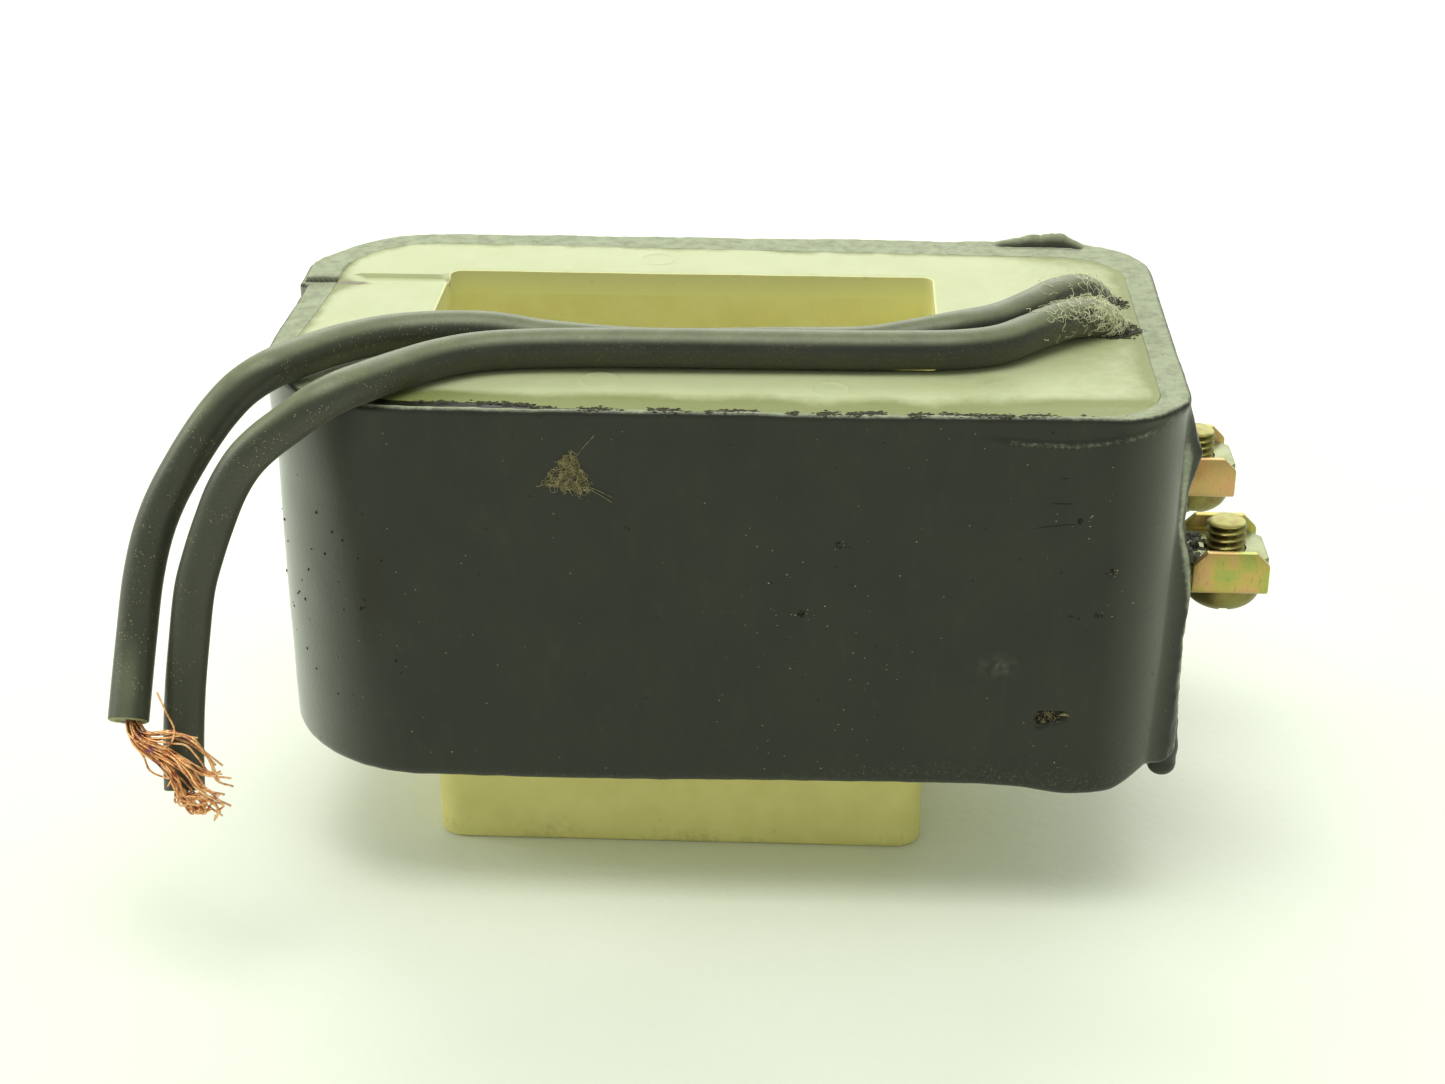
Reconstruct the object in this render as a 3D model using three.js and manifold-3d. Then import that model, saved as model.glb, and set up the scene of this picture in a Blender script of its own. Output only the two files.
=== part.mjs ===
// Potted two-winding coil for a laminated core, in millimetres, +Z up.
// A bobbin carries two windings, a rubbery black case is moulded round them, a core sleeve
// stands out below, two flexible leads leave the top flange and two screw terminals leave
// the right-hand end. The coil stands on the lower rim of its core sleeve, at Z = 0.

import * as THREE from 'three';
import * as BufferGeometryUtils from 'three/addons/utils/BufferGeometryUtils.js';
import Module from 'manifold-3d';

// ---- driving dimensions ----

const CASE = { length: 93, depth: 53.8, height: 40.6, bottom: 15, corners: [17, 8, 10, 13] };
const FLANGE = { left: 3.3, right: 3.2, front: 1.5, back: 4.6, thickness: 2.5, corners: [14, 6, 7, 10] };
const WINDOW = { x: -4.5, y: -0.8, length: 53.2, depth: 29.2, radius: 1.2 };
const TUBE_WALL = 1.6;
const SLEEVE = { wall: 1, clearance: 0.15, top: 44, radius: 1.6 };
const WINDING = { bottomGap: 1.8, topGap: 1.8 };
const LAYER_GAP = 0.1;
const LAYERS = [
  { name: 'primary_winding', build: 2.7, color: 0xb5713a },
  { name: 'interwinding_insulation', build: 0.4, color: 0xd9cfa4 },
  { name: 'secondary_winding', build: 2.2, color: 0xb5713a },
  { name: 'outer_winding_wrap', build: 0.5, color: 0xd8d2b0 },
];
const CAST_GAP = 0.1;
const FIT = 0.3;
const OVERSHOOT = 1;
const CURVE_STEPS = { window: 4, flange: 6, case: 7 };

const LEAD = { diameter: 3.97, sides: 8, steps: 48, hole: 4.8, holeSides: 10, holeSteps: 8, holePoints: 5 };
const FERRULE = { outer: 4.6, inner: 3, bottom: 40.5, length: 9 };
const END_WIRE = { diameter: 1.6, sides: 8, steps: 16, channel: 2.4, clearance: 0.05, rise: 35, turn: 37.8 };

const TERMINAL = { x: 52.3, y: 12.1, tabTop: 35.8 };
const TAB = { width: 8, thickness: 1.5, tip: 56.5, root: 36, cornerCut: 1.3, hole: 4.4 };
const TAB_NOTCH = { from: 2.5, to: 5.5, depth: 1.5 };
const SADDLE = { length: 7.8, innerWidth: 8.6, wall: 0.9, bottom: 32.6, top: 37.3, chamfer: 1.4, hole: 4.8 };
const SCREW = { diameter: 4.17, tip: 38.9, tipChamfer: 0.4, seat: 0.05 };
const HEAD = { diameter: 7.9, height: 3.5, edge: 1, domeSteps: 6 };
const SLOT = { width: 1.2, depth: 1 };
const END_LIP = { reach: 1.3, width: 2.4, y: -20, belowTop: 2 };

const caseTop = CASE.bottom + CASE.height;
const caseLeft = -CASE.length / 2;
const caseRight = CASE.length / 2;
const caseFront = -CASE.depth / 2;
const caseBack = CASE.depth / 2;

// ---- materials ----

const plastic = (color, roughness = 0.6) => new THREE.MeshStandardMaterial({ color, roughness, metalness: 0 });
const metal = (color, roughness = 0.4) => new THREE.MeshStandardMaterial({ color, roughness, metalness: 1 });
const IVORY = 0xd9dfae;
const BLACK_RUBBER = 0x2c2f2a;
const YELLOW_ZINC = 0xb9a35a;
const TIN_PLATE = 0xb9c4ae;
const COPPER = 0xb86c3c;

// ---- solids ----

const wasm = await Module();
wasm.setup();

function toManifold(geometry) {
  const bare = geometry.index ? geometry.toNonIndexed() : geometry.clone();
  bare.deleteAttribute('normal');
  bare.deleteAttribute('uv');
  const merged = BufferGeometryUtils.mergeVertices(bare, 1e-4);
  return new wasm.Manifold(new wasm.Mesh({
    numProp: 3,
    vertProperties: new Float32Array(merged.attributes.position.array),
    triVerts: new Uint32Array(merged.index.array),
  }));
}

function fromManifold(solid) {
  const mesh = solid.getMesh();
  const geometry = new THREE.BufferGeometry();
  geometry.setAttribute('position', new THREE.BufferAttribute(new Float32Array(mesh.vertProperties), 3));
  geometry.setIndex(new THREE.BufferAttribute(new Uint32Array(mesh.triVerts), 1));
  geometry.computeVertexNormals();
  return geometry;
}

function cut(geometry, tools) {
  let solid = toManifold(geometry);
  for (const tool of tools) solid = solid.subtract(toManifold(tool));
  return fromManifold(solid);
}

function join(geometries) {
  const [first, ...rest] = geometries.map(toManifold);
  return fromManifold(rest.reduce((solid, next) => solid.add(next), first));
}

// A rectangle with rounded corners. The radii go anticlockwise from the front left corner.
function roundedRectangle(left, right, front, back, [frontLeft, frontRight, backRight, backLeft]) {
  const shape = new THREE.Shape();
  const quarter = Math.PI / 2;
  shape.moveTo(left + frontLeft, front);
  shape.lineTo(right - frontRight, front);
  shape.absarc(right - frontRight, front + frontRight, frontRight, -quarter, 0, false);
  shape.lineTo(right, back - backRight);
  shape.absarc(right - backRight, back - backRight, backRight, 0, quarter, false);
  shape.lineTo(left + backLeft, back);
  shape.absarc(left + backLeft, back - backLeft, backLeft, quarter, 2 * quarter, false);
  shape.lineTo(left, front + frontLeft);
  shape.absarc(left + frontLeft, front + frontLeft, frontLeft, 2 * quarter, 3 * quarter, false);
  return shape;
}

// The window's outline, offset outwards by a wall thickness. frontInset narrows it at the front.
function windowOutline(offset, radius = WINDOW.radius + Math.max(offset, 0), frontInset = 0) {
  const x = WINDOW.length / 2 + offset;
  const y = WINDOW.depth / 2 + offset;
  const front = WINDOW.y - y + frontInset;
  return roundedRectangle(WINDOW.x - x, WINDOW.x + x, front, WINDOW.y + y, Array(4).fill(radius));
}

function prism(shape, bottom, top, curveSegments = CURVE_STEPS.window) {
  const geometry = new THREE.ExtrudeGeometry(shape, { depth: top - bottom, bevelEnabled: false, curveSegments });
  return geometry.translate(0, 0, bottom);
}

function ring(outer, inner, bottom, top, curveSegments) {
  outer.holes.push(inner);
  return prism(outer, bottom, top, curveSegments);
}

function cylinder(diameter, bottom, top, x, y, segments = 24) {
  const geometry = new THREE.CylinderGeometry(diameter / 2, diameter / 2, top - bottom, segments);
  return geometry.rotateX(Math.PI / 2).translate(x, y, (bottom + top) / 2);
}

function box(x0, x1, y0, y1, z0, z1) {
  const geometry = new THREE.BoxGeometry(x1 - x0, y1 - y0, z1 - z0);
  return geometry.translate((x0 + x1) / 2, (y0 + y1) / 2, (z0 + z1) / 2);
}

function tube(points, diameter, sides, steps) {
  const section = new THREE.Shape();
  for (let i = 0; i < sides; i += 1) {
    const angle = (i / sides) * 2 * Math.PI;
    const [x, y] = [Math.cos(angle) * diameter / 2, Math.sin(angle) * diameter / 2];
    if (i === 0) section.moveTo(x, y);
    else section.lineTo(x, y);
  }
  const path = new THREE.CatmullRomCurve3(points.map((p) => new THREE.Vector3(...p)), false, 'centripetal');
  return new THREE.ExtrudeGeometry(section, { steps, extrudePath: path, bevelEnabled: false });
}

// ---- routes ----

// Each flexible lead rises out of its ferrule, arcs over through the top flange, crosses
// above the core window and droops over the left-hand end, where it is cut off.
const LEAD_ROUTES = {
  rear_lead: [
    [41, 7.5, 50.2], [40.6, 7.1, 52.8], [39.4, 5.9, 55.6], [37.4, 3.7, 57.6], [34.6, 0.8, 58.2],
    [31.6, -2.6, 58], [28.2, -5.8, 57.7], [23.8, -9, 57.9], [19.6, -9.8, 57.3], [15, -10.2, 56.6],
    [6, -10.5, 56.4], [-8, -11, 56.3], [-18, -11.3, 57.1], [-24, -11, 57.8], [-32.4, -12, 57.8],
    [-37.4, -15.1, 57.8], [-41.2, -19.4, 57.8], [-43.8, -22.4, 57.5], [-46.2, -23.9, 56.2],
    [-48.1, -25.1, 54.4], [-49.7, -26.2, 52.4], [-51.5, -27.3, 49.7], [-53.4, -28.4, 46.4],
    [-54.7, -29.4, 43.3], [-55.7, -31, 39.2], [-56.3, -34, 33.2], [-56.4, -38.7, 27.2],
  ],
  front_lead: [
    [41.5, -0.3, 50.2], [41.1, -0.7, 52.8], [40, -1.8, 55.6], [38, -3.6, 57.5], [34.8, -6.3, 58.1],
    [31.4, -9.3, 57.9], [28, -12.2, 57.7], [24, -13.8, 57.7], [18, -14.4, 57.7], [6, -14.7, 57.7],
    [-8, -15.1, 57.8], [-18, -15.5, 57.7], [-23.8, -16.7, 57.7], [-27.5, -18.8, 57.7],
    [-30.9, -22.1, 57.7], [-33.3, -25.2, 57.8], [-35.7, -28, 57.7], [-37.8, -29.4, 56.9],
    [-40.2, -30.1, 55.3], [-42.9, -30.6, 53.3], [-44.8, -30.9, 51.4], [-46.6, -31.2, 48.6],
    [-48.1, -31.5, 45.2], [-49.3, -31.9, 42], [-50.3, -32.5, 38.7], [-51.1, -33.8, 33.2],
    [-51.5, -35.4, 28.7], [-51.6, -37.3, 24.2], [-51.4, -39.4, 20],
  ],
};

// The bare conductor at the end of each lead: a spread bundle on the rear lead, a stub on the other.
const STRAND_ROUTES = {
  rear_lead_strands: [[-56.4, -39.2, 26.6], [-56.2, -40.2, 25.4], [-54.4, -41.7, 24.2], [-51.2, -42.9, 23.2],
    [-48.4, -43.3, 21.4]],
  front_lead_strands: [[-51.4, -39.8, 19.4], [-51.2, -40.8, 18.2], [-50.6, -41.6, 17.4]],
};
const STRAND_BUNDLE = 2.4;

// ---- bobbin and core sleeve ----

function flangePlate(bottom, frontInset = 0) {
  const left = caseLeft + FLANGE.left;
  const right = caseRight - FLANGE.right;
  const front = caseFront + FLANGE.front;
  const back = caseBack - FLANGE.back;
  const outline = roundedRectangle(left, right, front, back, FLANGE.corners);
  const opening = windowOutline(0, WINDOW.radius, frontInset);
  return ring(outline, opening, bottom, bottom + FLANGE.thickness, CURVE_STEPS.flange);
}

const leadHole = (route) => tube(route.slice(0, LEAD.holePoints), LEAD.hole, LEAD.holeSides, LEAD.holeSteps);

// The top flange covers the front wall of the tube, level with the inside of the core sleeve.
function topFlange() {
  const plate = flangePlate(caseTop - FLANGE.thickness, SLEEVE.clearance + SLEEVE.wall);
  return cut(plate, Object.values(LEAD_ROUTES).map(leadHole));
}

const tubeBottom = CASE.bottom + FLANGE.thickness + CAST_GAP;
const tubeTop = caseTop - FLANGE.thickness - CAST_GAP;

const windingTube = () => ring(windowOutline(TUBE_WALL), windowOutline(0), tubeBottom, tubeTop);

function coreSleeve() {
  const outside = -SLEEVE.clearance;
  const outer = windowOutline(outside, SLEEVE.radius);
  const inner = windowOutline(outside - SLEEVE.wall, SLEEVE.radius - SLEEVE.wall);
  return ring(outer, inner, 0, SLEEVE.top);
}

// ---- windings ----

const windingBottom = CASE.bottom + FLANGE.thickness + WINDING.bottomGap;
const windingTop = caseTop - FLANGE.thickness - WINDING.topGap;

// Each layer starts where the one inside it ends, plus a small gap.
function windingLayers() {
  let inside = TUBE_WALL + LAYER_GAP;
  return LAYERS.map(({ name, build, color }) => {
    const geometry = ring(windowOutline(inside + build), windowOutline(inside), windingBottom, windingTop);
    const layer = { name, geometry, color, inside, outside: inside + build };
    inside += build + LAYER_GAP;
    return layer;
  });
}

const layers = windingLayers();
const layerNamed = (name) => layers.find((layer) => layer.name === name);
const wrapOutside = layerNamed('outer_winding_wrap').outside;

// The X of the middle of a winding layer, on its right-hand side.
function layerMiddle(name) {
  const { inside, outside } = layerNamed(name);
  return WINDOW.x + WINDOW.length / 2 + (inside + outside) / 2;
}

// ---- end wires, from the windings to the tabs and the ferrules ----

// A primary end leaves the winding's foot, runs out under the others and climbs to its tab.
function primaryEndRoute(y) {
  const start = layerMiddle('primary_winding');
  const low = windingBottom - END_WIRE.diameter / 2 - END_WIRE.clearance;
  const middle = TERMINAL.tabTop - TAB.thickness / 2;
  const inner = Math.sign(y) * (Math.abs(y) - 2);
  const { rise } = END_WIRE;
  return [
    [start, inner, low], [start + 4, inner, low], [rise - 1.6, inner, low + 0.6], [rise - 0.4, y, low + 4],
    [rise - 0.6, y, (low + middle) / 2], [rise - 0.6, y, middle - 3],
  ];
}

// A secondary end leaves the winding's top, drops beside it, turns and rises into its ferrule.
function secondaryEndRoute([x, y]) {
  const start = layerMiddle('secondary_winding');
  const high = windingTop + END_WIRE.diameter / 2 + END_WIRE.clearance;
  const { rise, turn } = END_WIRE;
  return [
    [start, y, high], [start + 3, y, high], [rise - 1.2, y, high - 1.2], [rise - 0.6, y, high - 5],
    [rise - 0.4, y, turn + 4], [rise + 0.8, y, turn + 0.8], [(rise + x) / 2, y, turn],
    [x - 0.8, y, turn + 0.8], [x, y, turn + 3], [x, y, FERRULE.bottom + 3],
  ];
}

const splices = {
  rear_splice_ferrule: LEAD_ROUTES.rear_lead[0],
  front_splice_ferrule: LEAD_ROUTES.front_lead[0],
};

const END_WIRE_ROUTES = {
  front_primary_end_wire: primaryEndRoute(-TERMINAL.y),
  rear_primary_end_wire: primaryEndRoute(TERMINAL.y),
  front_secondary_end_wire: secondaryEndRoute(LEAD_ROUTES.front_lead[0]),
  rear_secondary_end_wire: secondaryEndRoute(LEAD_ROUTES.rear_lead[0]),
};

function ferrule([x, y]) {
  const [outer, inner, length] = [FERRULE.outer / 2, FERRULE.inner / 2, FERRULE.length];
  const profile = [[inner, 0], [outer, 0], [outer, length], [inner, length], [inner, 0]];
  const geometry = new THREE.LatheGeometry(profile.map((p) => new THREE.Vector2(...p)), 20);
  return geometry.rotateX(Math.PI / 2).translate(x, y, FERRULE.bottom);
}

// ---- screw terminals ----

// A flat strap whose tip has two cut corners, with a notch in each side that keys it into the case.
function tabOutline(y, grow) {
  const half = TAB.width / 2 + grow;
  const notchHalf = half - TAB_NOTCH.depth;
  const [notchStart, notchEnd] = [TAB.root + TAB_NOTCH.from, TAB.root + TAB_NOTCH.to];
  const side = [
    [TAB.root - grow, half], [notchStart, half], [notchStart, notchHalf], [notchEnd, notchHalf], [notchEnd, half],
    [TAB.tip - TAB.cornerCut, half], [TAB.tip, half - TAB.cornerCut],
  ];
  const front = side.map(([x, reach]) => new THREE.Vector2(x, y - reach));
  const back = side.map(([x, reach]) => new THREE.Vector2(x, y + reach)).reverse();
  return new THREE.Shape([...front, ...back]);
}

function terminalTab(y) {
  const plate = prism(tabOutline(y, 0), TERMINAL.tabTop - TAB.thickness, TERMINAL.tabTop);
  return cut(plate, [cylinder(TAB.hole, SADDLE.bottom, SCREW.tip, TERMINAL.x, y, 32)]);
}

// The saddle is a U of bent strip: a base under the tab and an ear up each side of it.
function saddleClamp(y) {
  const x0 = TERMINAL.x - SADDLE.length / 2;
  const x1 = TERMINAL.x + SADDLE.length / 2;
  const outer = SADDLE.innerWidth / 2 + SADDLE.wall;
  const ear = new THREE.Shape();
  ear.moveTo(x0, SADDLE.bottom);
  ear.lineTo(x1, SADDLE.bottom);
  ear.lineTo(x1, SADDLE.top - SADDLE.chamfer);
  ear.lineTo(x1 - SADDLE.chamfer, SADDLE.top);
  ear.lineTo(x0 + SADDLE.chamfer, SADDLE.top);
  ear.lineTo(x0, SADDLE.top - SADDLE.chamfer);
  const block = new THREE.ExtrudeGeometry(ear, { depth: 2 * outer, bevelEnabled: false });
  block.rotateX(Math.PI / 2).translate(0, y + outer, 0);
  const baseTop = SADDLE.bottom + SADDLE.wall;
  const half = SADDLE.innerWidth / 2;
  return cut(block, [
    box(x0 - OVERSHOOT, x1 + OVERSHOOT, y - half, y + half, baseTop, SADDLE.top + OVERSHOOT),
    cylinder(SADDLE.hole, SADDLE.bottom - OVERSHOOT, baseTop + OVERSHOOT, TERMINAL.x, y, 32),
  ]);
}

// A round-head screw, head down, with a screwdriver slot across its dome.
function clampScrew(y) {
  const [shank, head] = [SCREW.diameter / 2, HEAD.diameter / 2];
  const headTop = SADDLE.bottom - SCREW.seat;
  const dome = HEAD.height - HEAD.edge;
  const profile = [new THREE.Vector2(0, headTop - HEAD.height)];
  for (let i = 1; i <= HEAD.domeSteps; i += 1) {
    const angle = (i / HEAD.domeSteps) * Math.PI / 2;
    profile.push(new THREE.Vector2(head * Math.sin(angle), headTop - HEAD.edge - dome * Math.cos(angle)));
  }
  profile.push(new THREE.Vector2(head, headTop));
  profile.push(new THREE.Vector2(shank, headTop));
  profile.push(new THREE.Vector2(shank, SCREW.tip - SCREW.tipChamfer));
  profile.push(new THREE.Vector2(shank - SCREW.tipChamfer, SCREW.tip));
  profile.push(new THREE.Vector2(0, SCREW.tip));
  const screw = new THREE.LatheGeometry(profile, 28).rotateX(Math.PI / 2).translate(TERMINAL.x, y, 0);
  const slotTop = headTop - HEAD.height + SLOT.depth;
  const slot = box(
    TERMINAL.x - SLOT.width / 2, TERMINAL.x + SLOT.width / 2,
    y - head - OVERSHOOT, y + head + OVERSHOOT, slotTop - 2 * SLOT.depth, slotTop,
  );
  return cut(screw, [slot]);
}

// ---- moulded case ----

// The flash left at the mould's joint, as one plain lip down the right-hand end.
function endLip() {
  const half = END_LIP.width / 2;
  const [left, right] = [caseRight - END_LIP.width, caseRight + END_LIP.reach];
  return box(left, right, END_LIP.y - half, END_LIP.y + half, CASE.bottom, caseTop - END_LIP.belowTop);
}

// The two seats for the flanges and the space between them that the windings fill.
function bobbinPockets() {
  const seat = roundedRectangle(
    caseLeft + FLANGE.left - CAST_GAP, caseRight - FLANGE.right + CAST_GAP,
    caseFront + FLANGE.front - CAST_GAP, caseBack - FLANGE.back + CAST_GAP,
    FLANGE.corners.map((radius) => radius + CAST_GAP),
  );
  const depth = FLANGE.thickness + CAST_GAP;
  return [
    prism(windowOutline(wrapOutside + LAYER_GAP), CASE.bottom - OVERSHOOT, caseTop + OVERSHOOT),
    prism(seat, CASE.bottom - OVERSHOOT, CASE.bottom + depth, CURVE_STEPS.flange),
    prism(seat, caseTop - depth, caseTop + OVERSHOOT, CURVE_STEPS.flange),
  ];
}

function ferrulePocket([x, y]) {
  const top = FERRULE.bottom + FERRULE.length + OVERSHOOT;
  return cylinder(FERRULE.outer + 2 * FIT, FERRULE.bottom - FIT, top, x, y, 16);
}

// The tab's own pocket, and the well under it where the winding wire comes up.
function tabPockets(y) {
  const tabBottom = TERMINAL.tabTop - TAB.thickness;
  const half = END_WIRE.channel / 2;
  return [
    prism(tabOutline(y, CAST_GAP), tabBottom - CAST_GAP, TERMINAL.tabTop + CAST_GAP),
    box(END_WIRE.rise - 2, TAB.root + 0.5, y - half, y + half, tabBottom - 4, tabBottom + 2 * CAST_GAP),
  ];
}

// The case is cast round everything inside it, so each buried piece has its own pocket.
function caseJacket() {
  const outline = roundedRectangle(caseLeft, caseRight, caseFront, caseBack, CASE.corners);
  const body = prism(outline, CASE.bottom, caseTop, CURVE_STEPS.case);
  return cut(join([body, endLip()]), [
    ...bobbinPockets(),
    ...Object.values(LEAD_ROUTES).map(leadHole),
    ...Object.values(splices).map(ferrulePocket),
    ...Object.values(END_WIRE_ROUTES).map((route) => tube(route, END_WIRE.channel, 8, END_WIRE.steps)),
    ...[-TERMINAL.y, TERMINAL.y].flatMap(tabPockets),
  ]);
}

// ---- assembly ----

const assembly = new THREE.Group();

function add(name, geometry, material, parent = assembly) {
  const mesh = new THREE.Mesh(geometry, material);
  mesh.name = name;
  parent.add(mesh);
  return mesh;
}

add('case_jacket', caseJacket(), plastic(BLACK_RUBBER, 0.55));
add('top_flange', topFlange(), plastic(IVORY));
add('bottom_flange', flangePlate(CASE.bottom), plastic(IVORY));
add('winding_tube', windingTube(), plastic(IVORY));
add('core_sleeve', coreSleeve(), plastic(IVORY));

for (const { name, geometry, color } of layers) {
  add(name, geometry, name.endsWith('winding') ? metal(color) : plastic(color, 0.8));
}

for (const [name, point] of Object.entries(splices)) {
  add(name, ferrule(point), metal(TIN_PLATE));
}
for (const [name, route] of Object.entries(END_WIRE_ROUTES)) {
  add(name, tube(route, END_WIRE.diameter, END_WIRE.sides, END_WIRE.steps), metal(COPPER));
}
for (const [name, route] of Object.entries(LEAD_ROUTES)) {
  add(name, tube(route, LEAD.diameter, LEAD.sides, LEAD.steps), plastic(BLACK_RUBBER, 0.5));
}
for (const [name, route] of Object.entries(STRAND_ROUTES)) {
  add(name, tube(route, STRAND_BUNDLE, 8, 8), metal(COPPER));
}

for (const [side, y] of [['front', -TERMINAL.y], ['rear', TERMINAL.y]]) {
  const terminal = new THREE.Group();
  assembly.add(terminal);
  add(`${side}_terminal_tab`, terminalTab(y), metal(TIN_PLATE), terminal);
  add(`${side}_saddle_clamp`, saddleClamp(y), metal(YELLOW_ZINC), terminal);
  add(`${side}_clamp_screw`, clampScrew(y), metal(YELLOW_ZINC), terminal);
}

// The origin is under the middle of the coil's box, from the case's left end to the tabs' tips.
const middle = (caseLeft + TAB.tip) / 2;
assembly.position.set(-middle, 0, 0);

const coil = new THREE.Group();
coil.add(assembly);

export default coil;
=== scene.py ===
"""Looks of a potted two-winding coil with two bare-ended leads and two screw terminals.

Shapes are worked out in millimetres from the case's middle (X, Y) and from the table (Z),
and to_frame() turns them into the frame's metres.
"""
import math
import random

import bmesh
import bpy
import numpy as np
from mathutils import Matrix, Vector, noise
from mathutils.geometry import delaunay_2d_cdt


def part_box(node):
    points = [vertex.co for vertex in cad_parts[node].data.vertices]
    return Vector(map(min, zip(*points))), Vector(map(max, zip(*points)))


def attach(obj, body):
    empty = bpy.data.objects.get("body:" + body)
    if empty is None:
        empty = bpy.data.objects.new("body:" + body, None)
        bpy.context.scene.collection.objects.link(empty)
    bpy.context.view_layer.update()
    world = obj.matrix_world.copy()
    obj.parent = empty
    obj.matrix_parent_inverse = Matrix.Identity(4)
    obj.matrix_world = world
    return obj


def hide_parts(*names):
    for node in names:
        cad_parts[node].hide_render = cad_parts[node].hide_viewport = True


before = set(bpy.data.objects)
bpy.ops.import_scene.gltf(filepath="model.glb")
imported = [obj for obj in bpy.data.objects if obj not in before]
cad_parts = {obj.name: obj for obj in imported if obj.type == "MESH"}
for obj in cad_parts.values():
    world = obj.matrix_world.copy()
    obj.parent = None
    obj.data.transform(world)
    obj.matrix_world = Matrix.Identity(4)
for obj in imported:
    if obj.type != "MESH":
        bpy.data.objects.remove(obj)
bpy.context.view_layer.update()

# ---- places and sizes ----

MM = 0.001
LIP_REACH = 1.3

jacket_low, jacket_high = (np.array(corner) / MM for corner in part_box("case_jacket"))
ORIGIN = np.array(((jacket_low[0] + jacket_high[0] - LIP_REACH) / 2, 0, 0))


def node_box(node):
    """A CAD node's lowest and highest corners, in millimetres from the case's middle."""
    low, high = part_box(node)
    return np.array(low) / MM - ORIGIN, np.array(high) / MM - ORIGIN


def to_frame(points):
    """Millimetres from the case's middle to the frame's metres."""
    return (np.asarray(points, float) + ORIGIN) * MM


CASE_LOW, CASE_HIGH = node_box("case_jacket")
LEFT, FRONT, BOTTOM = CASE_LOW
RIGHT, BACK, TOP = CASE_HIGH - (LIP_REACH, 0, 0)
FLANGE_LOW, FLANGE_HIGH = node_box("top_flange")
PLATE = FLANGE_HIGH[2] - FLANGE_LOW[2]
TUBE_LOW, TUBE_HIGH = node_box("winding_tube")
TUBE_WALL = 1.6
WRAP_LOW, WRAP_HIGH = node_box("outer_winding_wrap")
SLEEVE_LOW, SLEEVE_HIGH = node_box("core_sleeve")
WINDOW = (TUBE_LOW[0] + TUBE_WALL, TUBE_HIGH[0] - TUBE_WALL,
          TUBE_LOW[1] + TUBE_WALL, TUBE_HIGH[1] - TUBE_WALL)
# The top flange covers the front wall of the tube by this much.
WINDOW_LEDGE = 1.15
LEAD_DIAMETER = 3.97
STRAND_DIAMETER = 0.22

LEAD_ROUTES = {
    "rear_lead": [
        (41, 7.5, 50.2), (40.6, 7.1, 52.8), (39.4, 5.9, 55.6), (37.4, 3.7, 57.6), (34.6, 0.8, 58.2),
        (31.6, -2.6, 58), (28.2, -5.8, 57.7), (23.8, -9, 57.9), (19.6, -9.8, 57.3), (15, -10.2, 56.6),
        (6, -10.5, 56.4), (-8, -11, 56.3), (-18, -11.3, 57.1), (-24, -11, 57.8), (-32.4, -12, 57.8),
        (-37.4, -15.1, 57.8), (-41.2, -19.4, 57.8), (-43.8, -22.4, 57.5), (-46.2, -23.9, 56.2),
        (-48.1, -25.1, 54.4), (-49.7, -26.2, 52.4), (-51.5, -27.3, 49.7), (-53.4, -28.4, 46.4),
        (-54.7, -29.4, 43.3), (-55.7, -31, 39.2), (-56.3, -34, 33.2), (-56.4, -38.7, 27.2),
    ],
    "front_lead": [
        (41.5, -0.3, 50.2), (41.1, -0.7, 52.8), (40, -1.8, 55.6), (38, -3.6, 57.5), (34.8, -6.3, 58.1),
        (31.4, -9.3, 57.9), (28, -12.2, 57.7), (24, -13.8, 57.7), (18, -14.4, 57.7), (6, -14.7, 57.7),
        (-8, -15.1, 57.8), (-18, -15.5, 57.7), (-23.8, -16.7, 57.7), (-27.5, -18.8, 57.7),
        (-30.9, -22.1, 57.7), (-33.3, -25.2, 57.8), (-35.7, -28, 57.7), (-37.8, -29.4, 56.9),
        (-40.2, -30.1, 55.3), (-42.9, -30.6, 53.3), (-44.8, -30.9, 51.4), (-46.6, -31.2, 48.6),
        (-48.1, -31.5, 45.2), (-49.3, -31.9, 42), (-50.3, -32.5, 38.7), (-51.1, -33.8, 33.2),
        (-51.5, -35.4, 28.7), (-51.6, -37.3, 24.2), (-51.4, -39.4, 20),
    ],
}


# ---- camera, light and floor ----

CAMERA_PLACE = (0.00608, -0.24264, 0.14437)
CAMERA_TILT, CAMERA_TURN = 64.66, 2.71
CAMERA_LENS = 60.76


def add_camera():
    data = bpy.data.cameras.new("camera")
    data.sensor_width = 36
    data.lens = CAMERA_LENS
    data.clip_start = 0.01
    camera = bpy.data.objects.new("camera", data)
    camera.location = CAMERA_PLACE
    camera.rotation_euler = (math.radians(CAMERA_TILT), 0, math.radians(CAMERA_TURN))
    bpy.context.scene.collection.objects.link(camera)
    bpy.context.scene.camera = camera


def add_area_light(name, place, target, size, watts, colour):
    data = bpy.data.lights.new(name, "AREA")
    data.shape = "RECTANGLE"
    data.size, data.size_y = size
    data.energy = watts
    data.color = colour
    light = bpy.data.objects.new(name, data)
    light.location = place
    light.rotation_euler = (Vector(target) - Vector(place)).to_track_quat("-Z", "Y").to_euler()
    bpy.context.scene.collection.objects.link(light)


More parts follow.
